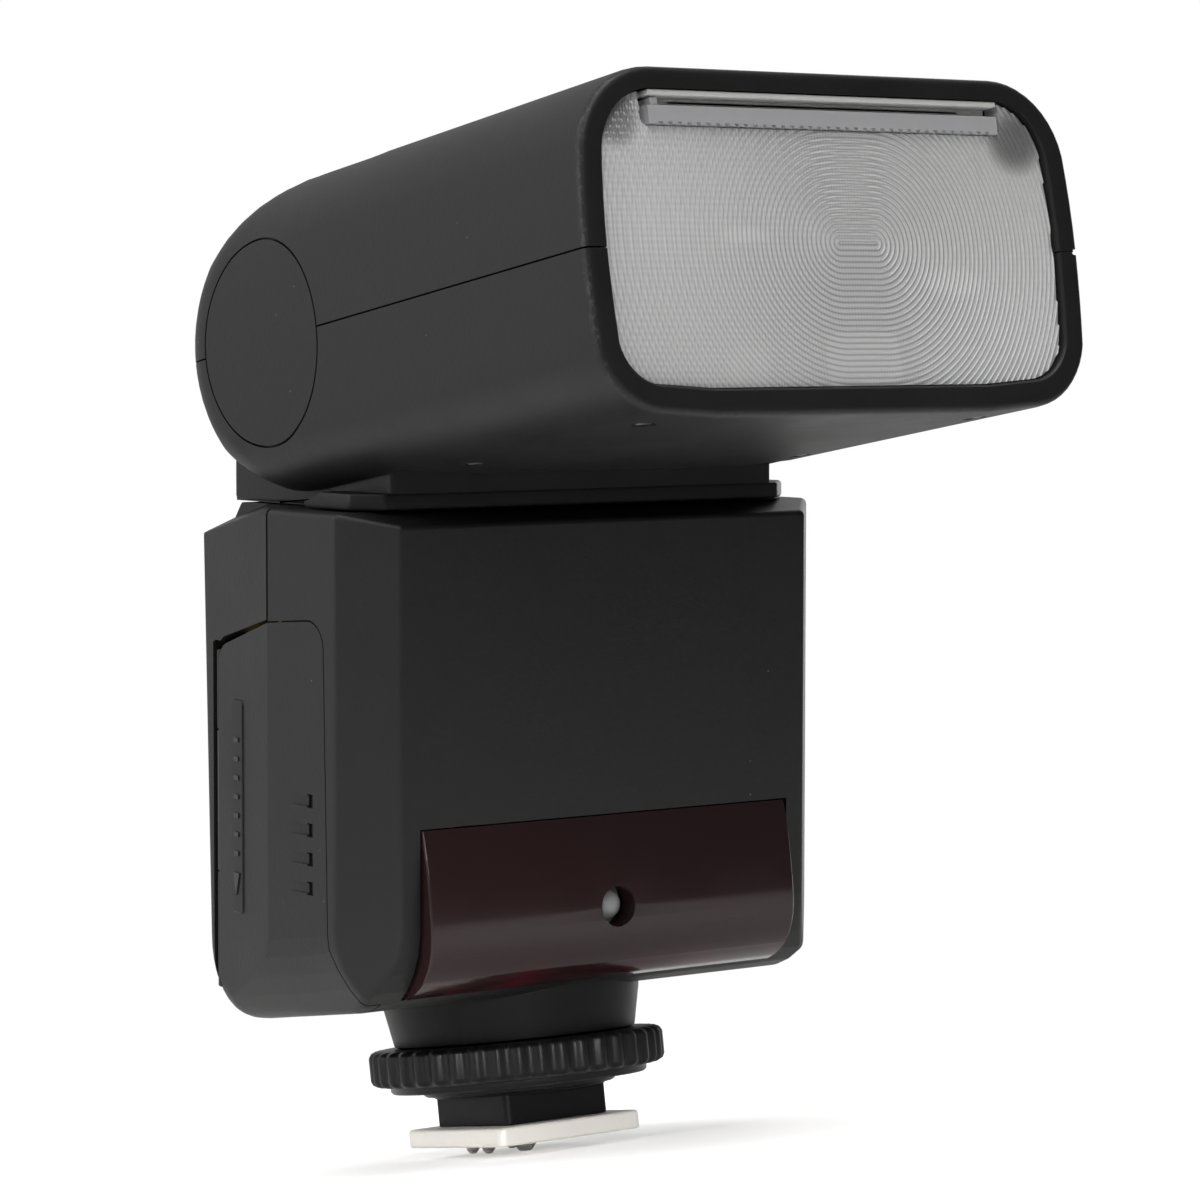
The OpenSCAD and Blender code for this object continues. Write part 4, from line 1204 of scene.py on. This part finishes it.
def pull_out_sheets():
    sheet = prism(rounded_rect(41, 34.0, 1.2, 5, 0, 38.0), 'z', 12.5, 13.3)
    bevel_all(sheet, 0.12)
    lip = box(-22.0, 22.0, 54.3, 56.7, 11.85, 13.65)
    for i in range(37):
        # row of small nicks along the lower edge of the lip
        x = -20.9 + i * 1.145
        cut(lip, box(x, x + .55, 56.3, 57, 11.5, 12.1))
    nub = box(-21.6, -20.7, 54.3, 56.6, 13.6, 14.4)
    bevel_all(nub, 0.12)
    riser = box(-21.8, 21.8, 54.6, 55.4, 13.5, 13.98)
    finish(join(sheet, lip, nub, riser), 'wide_sheet', HEAD, 'wide_panel', PANEL,
           'wide_panel')

    card = prism(rounded_rect(39, 34.0, 1.2, 5, 0, 38.0), 'z', 14.08, 14.45)
    bevel_all(card, 0.08)
    lip = box(-22.0, 22.0, 54.6, 56.85, 14.62, 15.16)
    bevel_all(lip, 0.15)
    riser = box(-20.4, 21.8, 54.2, 55.0, 14.1, 15.0)
    finish(join(card, lip, riser), 'white_sheet', HEAD, 'bounce_card', WHITE,
           'bounce_card')


def head_shells():
    form = head_form()
    head = hollow_head(form)
    head_half(head, 'head_top', SEAM_Z, 60, SEAM_Z, 'head_upper')
    head_half(head, 'head_bottom', -60, -SEAM_Z, -SEAM_Z, 'head_lower')
    cheek_discs(form)
    remove(head, form)


head_shells()
fresnel()
lens_surround()
pull_out_sheets()

# ---------------------------------------------------------------- turret, mm, raked frame
TURRET_X = 24.9                     # half width
TURRET_FRONT, TURRET_BACK = -13.5, 16.3
TURRET_R = 15.8                     # round top about the axle
TURRET_Z = 69.25


def turret_form(depth):
    """The turret moved in by depth; the inner form also runs out of the bottom."""
    front, back, radius = TURRET_FRONT + depth, TURRET_BACK - depth, TURRET_R - depth
    base = TURRET_Z - (3 if depth else 0)
    start = math.degrees(math.acos((back - AXLE_Y) / radius))
    points = [(front, base), (back, base)] + arc(AXLE_Y, AXLE_Z, radius, start, 222, 48)
    points.append((front, points[-1][1]))
    return prism(points, 'x', depth - TURRET_X, TURRET_X - depth)


def turret():
    shell = turret_form(0)
    bevel_all(shell, 0.7, 3)
    cut(shell, turret_form(1.5))
    unite(shell, prism([(-24.7, -13.3), (24.7, -13.3), (24.7, 16.1), (-24.7, 16.1)], 'z',
                       69.26, 70.85))
    cut(shell, cylinder(9.0, 60, 72, 64, centre=POST), cylinder(5.02, -30, 30, 48, 'x', AXLE))
    # the split between the halves slants back towards the top
    front = duplicate(shell)
    intersect(front, prism([(-60, 50), (7.44, 50), (7.44, 69.24), (-4.96, 70.42),
                            (3.44, 72.42), (3.44, 120), (-60, 120)], 'x', -60, 60))
    intersect(shell, prism([(7.6, 50), (60, 50), (60, 120), (3.6, 120), (3.6, 72.3),
                            (-4.5, 70.5), (7.6, 69.4)], 'x', -60, 60))
    # low wings round the front corners
    wing = prism([(-25.6, -13.6), (25.6, -13.6), (28.4, -11), (28.4, -2.6), (24.8, -2.6),
                  (24.8, -12.6), (-24.8, -12.6), (-24.8, -2.6), (-28.4, -2.6), (-28.4, -11)],
                 'z', TURRET_Z, 71.05)
    bevel_all(wing, 0.35)
    for side in (1, -1):
        cut(wing, cylinder(16.8, TURRET_X * side, 60 * side, 96, 'x', AXLE))
    finish(join(front, wing), 'turret_front', RAKED, 'turret', FRONT,
           'turret_base')
    finish(shell, 'turret_back', RAKED, 'turret', BLACK, 'turret_rear')


turret()

# ---------------------------------------------------------------- rear controls
KEY_TOP = 19.0                      # y of the key faces
KEY_SIGN_Y = KEY_TOP - .01
PLATE_SIGN_Y = 18.39
POWER_X = -21.4
MARK_Y = 16.8                       # y of the display's marks


def rear_plate():
    plate = prism(rounded_rect(51, 45.6, 3, 8, 0, 42), 'y', 17.22, 18.4)
    bevel_beyond(plate, 18.3, 0.3)
    cut_controls(plate, 38.2, 18.2, 12)
    finish(plate, 'rear_plate', RAKED, 'body', FRONT, 'control_panel')
    cover = prism(rounded_rect(38, 18, .9, 6, 0, DISPLAY_Z), 'y', 17.0, 18.3)
    bevel_beyond(cover, 18.2, 0.25)
    finish(cover, 'display_cover', RAKED, 'body', GLASS, 'lcd_window')


def key(name, material, slot):
    x, z = KEY_PLACES[name]
    width, height, radius, foot, skirt = 9.6, 4.8, 1.1, 14.9, 1.6
    cap = prism(rounded_rect(width, height, radius, 6, x, z), 'y', foot, KEY_TOP)
    bevel_beyond(cap, KEY_TOP - .05, 0.32)
    flange = prism(rounded_rect(width + skirt, height + skirt, radius, 5, x, z), 'y',
                   foot - .4, foot + .2)
    finish(join(cap, flange), 'key_' + name, RAKED, name + '_key', material,
           name + '_button')


def bar(x0, x1, z0, z1, y=KEY_SIGN_Y, thick=.03):
    return box(x0, x1, y, y + thick, z0, z1)


def ring_mark(x, z, radius, width, y=KEY_SIGN_Y):
    return lathe([(radius - width, y), (radius, y), (radius, y + .03),
                  (radius - width, y + .03)], 28, 'y', (x, 0, z))


def sign(name, body, *parts):
    finish(join(*parts), 'sign_' + name, RAKED, body, WHITE)


def key_signs():
    sign('mode', 'mode_key', *[bar(-20.9, -18.1, z, z + .25) for z in (38.1, 37.3, 36.5)])
    sign('menu', 'menu_key', *[ring_mark(x, 37.4, .3, .3) for x in (18.4, 19.5, 20.6)])
    sign('link', 'wireless_key', *[ring_mark(-19.5, 29.4, radius, width)
                                   for radius, width in ((.35, .35), (.9, .2), (1.5, .2))])
    bolt = [(19.9, 31.0), (18.7, 29.2), (19.45, 29.2), (19.1, 27.8), (20.4, 29.75),
            (19.6, 29.75)]
    sign('test', 'test_key', prism(bolt, 'y', KEY_SIGN_Y, KEY_SIGN_Y + .03))


def power_slider():
    slider = prism(rounded_rect(4.6, 2.2, .5, 5, POWER_X, POWER_Z), 'y', 14.6, 19.1)
    bevel_beyond(slider, 19.0, 0.22, 2)
    for i in range(-2, 3):
        cut(slider, box(-21.55 + i * .75, -21.25 + i * .75, 18.9, 19.4, 21.8, 23.4))
    skirt = prism(rounded_rect(5.4, 3.4, .5, 4, POWER_X, POWER_Z), 'y', 14.5, 15.45)
    finish(join(slider, skirt), 'slide_switch', RAKED, 'power_slider', KEYS,
           'power_switch')
    sign('power', 'body', bar(-24.1, -23.85, 24.3, 25.3, PLATE_SIGN_Y),
         ring_mark(-15.6, 24.8, .55, .18, PLATE_SIGN_Y))


def dial():
    """The dial with a knurled rim, and the key in its middle."""
    rim = 10.2

    def profile(across):
        r = rim
        if across <= .5:
            r = min(rim, 10.5 - math.sqrt(max(0, .55 ** 2 - across ** 2)))
        return [(4.3, 14.6), (5.1, 14.6), (5.1, 18.55), (r - .1, 18.55), (r, 18.65), (r, 19.2),
                (r - .3, 19.48), (9.0, 19.5), (8.6, 19.36), (5.6, 19.36), (5.0, 19.5),
                (4.5, 19.5), (4.3, 19.4)]

    centre = (0, 0, DIAL_Z)
    finish(fluted(36, 8, rim, profile, 'y', centre), 'dial', RAKED, 'dial', KEYS,
           'select_dial', sharp=40)
    button = lathe([(0, 14.9), (4.22, 14.9), (4.22, 19.1), (4.0, 19.32), (3.4, 19.38),
                    (1.8, 19.28), (0, 19.24)], 64, 'y', centre)
    finish(button, 'centre_key', RAKED, 'set_key', KEYS, 'set_button')
    sign('set', 'set_key', ring_mark(0, DIAL_Z, .45, .45, 19.245))


# bars on the display (x0, x1, z0, z1)
DISPLAY_BARS = [
    [(-17, 17, 60.2, 60.35)],
    [(-16.4 + i * 3.1, -14.6 + i * 3.1, 47.2, 48.4 + i * .18) for i in range(10)],
    [(13.2, 16.6, 58.3, 59.6), (12.8, 13.2, 58.6, 59.3)],
    [(-8, -1.5, 55.6, 56.4), (-8, -1.5, 51.4, 52.2), (1.6, 2.6, 51.2, 56.6),
     (6, 7, 51.2, 56.6), (9, 14, 53.6, 54.4)],
]


def display_marks():
    groups = [[bar(*place, MARK_Y, .04) for place in group] for group in DISPLAY_BARS]
    groups.insert(3, [ring_mark(-13, 54, 2.2, .45, MARK_Y)])
    finish(join(*sum(groups, [])), 'display_marks', RAKED, 'body', ink_material())


rear_plate()
key('mode', KEYS, 'key_black')
key('menu', KEYS, 'key_black')
key('wireless', KEYS, 'key_black')
key('test', KEY_RED, 'key_red')
key_signs()
power_slider()
dial()
display_marks()


# ---------------------------------------------------------------- +x side
def sync_socket():
    liner = lathe([(1.3, 21.6), (1.3, 29.3), (1.4, 29.4), (1.85, 29.4), (2.0, 29.25),
                   (2.0, 20.6), (0, 20.6), (0, 21.6)], 40, 'x', JACK)
    finish(liner, 'sync_socket_liner', RAKED, 'body', STEEL, 'sync_jack')


def port_flap():
    flap = intersect(skin(1.3), prism(rounded_rect(4.55, 9.7, .7, 5, 8.925, 36.6), 'x', 25, 40))
    bevel_edges(flap, lambda e: fold(e) > 60 and min(v.co.x for v in e.verts) > 28.9, 0.16, 2)
    bead = lathe([(0, 31.75), (0.5, 31.75), (.58, 31.85), (.58, 41.35), (.5, 41.45),
                  (0, 41.45)], 28, centre=FLAP_HINGE)
    finish(join(flap, bead), 'port_flap', RAKED, 'port_flap', RUBBER,
           'port_cover')


sync_socket()
port_flap()
remove(OUTER, SHELL)

screw_heads = [lathe([(0, -15.2), (0, -15.75), (.8, -15.75), (1.12, -15.5), (1.12, -14.65),
                      (0, -14.65)], 32, centre=(x, y, 0)) for x, y in HEAD_SCREWS]
finish(join(*screw_heads), 'head_screw_heads', HEAD, 'head', STEEL, 'head_screws')


# ---------------------------------------------------------------- CAD pieces
def trimmed(name, material):
    """An inner CAD piece trimmed to lie inside the body's walls."""
    source = frame['nodes'][name]
    mesh = source.data.copy()
    mesh.transform(RAKED.inverted() @ Matrix.Scale(1000, 4) @ source.matrix_world)
    bm = bmesh.new()
    bm.from_mesh(mesh)
    bmesh.ops.remove_doubles(bm, verts=bm.verts, dist=0.002)
    bpy.data.meshes.remove(mesh)
    piece = intersect(mesh_object(bm), half_spaces(body_planes(1.85)))
    finish(piece, name + '_trimmed', RAKED, 'body', material, name)


trimmed('battery_tray', DARK)
trimmed('battery_springs', STEEL)
trimmed('battery_contacts', CONTACT)
trimmed('battery_cells', WRAP)

SLOT_MATERIALS = {
    'black_body': BLACK, 'gloss_black': GLOSS, 'key_black': KEYS, 'key_red': KEY_RED,
    'rubber_black': RUBBER, 'red_lens': RED,
    'lamp_red': plastic('lamp_red', (0.45, 0.02, 0.02), rough=0.2, grain=0.02),
    'clear_lens': LENS, 'display_glass': GLASS,
    'display_grey': plastic('display_grey', (0.33, 0.37, 0.31), rough=0.5, grain=0.05, dust=0,
                            spread=0.05),
    'white_card': WHITE, 'tube_glass': TUBE, 'mirror_metal': MIRROR, 'board_green': BOARD,
    'dark_plastic': DARK, 'foot_metal': FOOT, 'contact_metal': CONTACT, 'steel': STEEL,
    'cell_wrap': WRAP}
# slot: the CAD pieces that wear it
SLOT_PIECES = {
    'lamp_red': ['assist_lamp'],
    'display_grey': ['lcd_module'],
    'board_green': ['main_board', 'power_board'],
    'gloss_black': ['capacitor'],
    'contact_metal': ['transformer', 'battery_contacts'],
    'dark_plastic': ['battery_tray', 'door_slider', 'dial_encoder', 'pivot_tube'],
    'cell_wrap': ['battery_cells'],
    'steel': ['battery_springs', 'door_hinge_pin', 'usb_port', 'housing_screws',
              'centre_spring', 'signal_springs', 'retaining_ring', 'tilt_axles',
              'detent_plunger', 'zoom_motor', 'lead_screw', 'guide_rods'],
    'mirror_metal': ['reflector'],
    'tube_glass': ['flash_tube'],
}


def dress_cad_pieces():
    """Give a material to every CAD piece that stays; the table above goes before the record."""
    slots = {}
    looks = frame['record'].get('appearance', {})
    if isinstance(looks, dict):
        for entry in looks.get('materials', []):
            for name in entry.get('nodes', []):
                slots[name] = entry.get('slot') or entry.get('name')
    for slot, names in SLOT_PIECES.items():
        slots.update(dict.fromkeys(names, slot))
    for name, ob in frame['nodes'].items():
        if name not in REPLACED:
            ob.data.materials.clear()
            ob.data.materials.append(SLOT_MATERIALS[slots.get(name, 'dark_plastic')])


dress_cad_pieces()


# ---------------------------------------------------------------- floor and world
def floor_material():
    """Pale matte that brightens for the camera and fades out with distance."""
    material, tree = new_material('floor')
    matte = node(tree, 'BsdfDiffuse', Color=(0.97, 0.965, 0.955, 1))
    seen = node(tree, 'LightPath').outputs['Is Camera Ray']
    lift = node(tree, 'Emission', Color=(1, 0.995, 0.985, 1),
                Strength=calc(tree, 'MULTIPLY', seen, 0.42))
    coords = node(tree, 'TexCoord').outputs['Object']
    distance = node(tree, 'VectorMath', coords, operation='LENGTH').outputs['Value']
    shader = node(tree, 'MixShader', smooth_range(tree, distance, 0.06, 0.30),
                  node(tree, 'AddShader', matte, lift), node(tree, 'BsdfTransparent'))
    node(tree, 'OutputMaterial', shader)
    return material


def floor():
    radius = 430
    angles = [2 * math.pi * i / 96 for i in range(96)]
    disc = prism([(radius * math.cos(a), radius * math.sin(a)) for a in angles], 'z',
                 -1.4, -1.32)
    disc.data.transform(Matrix.Scale(0.001, 4))
    disc.data.materials.append(floor_material())
    disc.name = 'floor'
    disc.data.name = 'floor'


def studio_world():
    """White to the camera; to everything else a soft grey, brightest toward -x, +y and up."""
    world = bpy.data.worlds.new('studio')
    scene.world = world
    tree = empty_tree(world)
    coords = node(tree, 'TexCoord').outputs['Generated']
    bright = Vector((-0.62, 0.72, 0.30)).normalized()
    facing = node(tree, 'VectorMath', coords, bright, operation='DOT_PRODUCT').outputs['Value']
    grey = smooth_range(tree, facing, -0.75, 0.95, To_Min=0.09, To_Max=0.62)
    shader = node(tree, 'MixShader', node(tree, 'LightPath').outputs['Is Camera Ray'],
                  node(tree, 'Background', Color=grey, Strength=1.0),
                  node(tree, 'Background', Color=(1.0, 1.0, 1.0, 1), Strength=1.0))
    node(tree, 'OutputWorld', shader)


scene = bpy.context.scene
floor()
scene.view_settings.view_transform = 'Standard'
scene.view_settings.look = 'None'
studio_world()


# ---------------------------------------------------------------- lights and camera, metres
def area_light(name, place, target, width, height, power):
    light = bpy.data.lights.new(name, 'AREA')
    light.shape = 'RECTANGLE'
    light.size = width
    light.size_y = height
    light.energy = power
    ob = link(bpy.data.objects.new(name, light))
    ob.location = place
    ob.rotation_euler = (Vector(target) - Vector(place)).to_track_quat('-Z', 'Y').to_euler()
    return light


# name, place, target, width, height, power in watts
LIGHTS = [
    ('key_left', (-0.8, 0.15, 0.5), (0, 0, 0.07), 0.7, 0.9, 3.4),
    ('key_top', (-0.05, -0.25, 0.95), (0, 0, 0.06), 0.7, 0.6, 5.0),
    ('front_high', (-0.45, -0.75, 0.75), (0, 0, 0.08), 0.5, 0.4, 2.4),
    ('foot_low', (-0.30, -0.55, 0.10), (0, 0, -0.004), 0.06, 0.03, 0.004),
    ('glint', (0.16, -0.66, 0.24), (0, -0.06, 0.086), 0.05, 0.05, 0.06),
    ('rim_right', (0.75, 0.35, 0.3), (0, 0, 0.07), 0.4, 0.8, 1.8),
]


def camera():
    lens = bpy.data.cameras.new('cam')
    ob = link(bpy.data.objects.new('cam', lens))
    scene.camera = ob
    lens.sensor_width = 36
    lens.lens = 128.75
    lens.clip_start = 0.01
    lens.clip_end = 20
    right = Vector((0.79975, -0.59235, -0.09758)).normalized()
    up = Vector((0.04081, -0.10853, 0.99325)).normalized()
    back = right.cross(up).normalized()
    up = back.cross(right)
    ob.matrix_world = Matrix(((right.x, up.x, back.x, -0.26917),
                              (right.y, up.y, back.y, -0.38179),
                              (right.z, up.z, back.z, 0.02796), (0, 0, 0, 1)))


lights = {settings[0]: area_light(*settings) for settings in LIGHTS}
lights['foot_low'].spread = math.radians(7)     # a narrow beam on the shoe
camera()
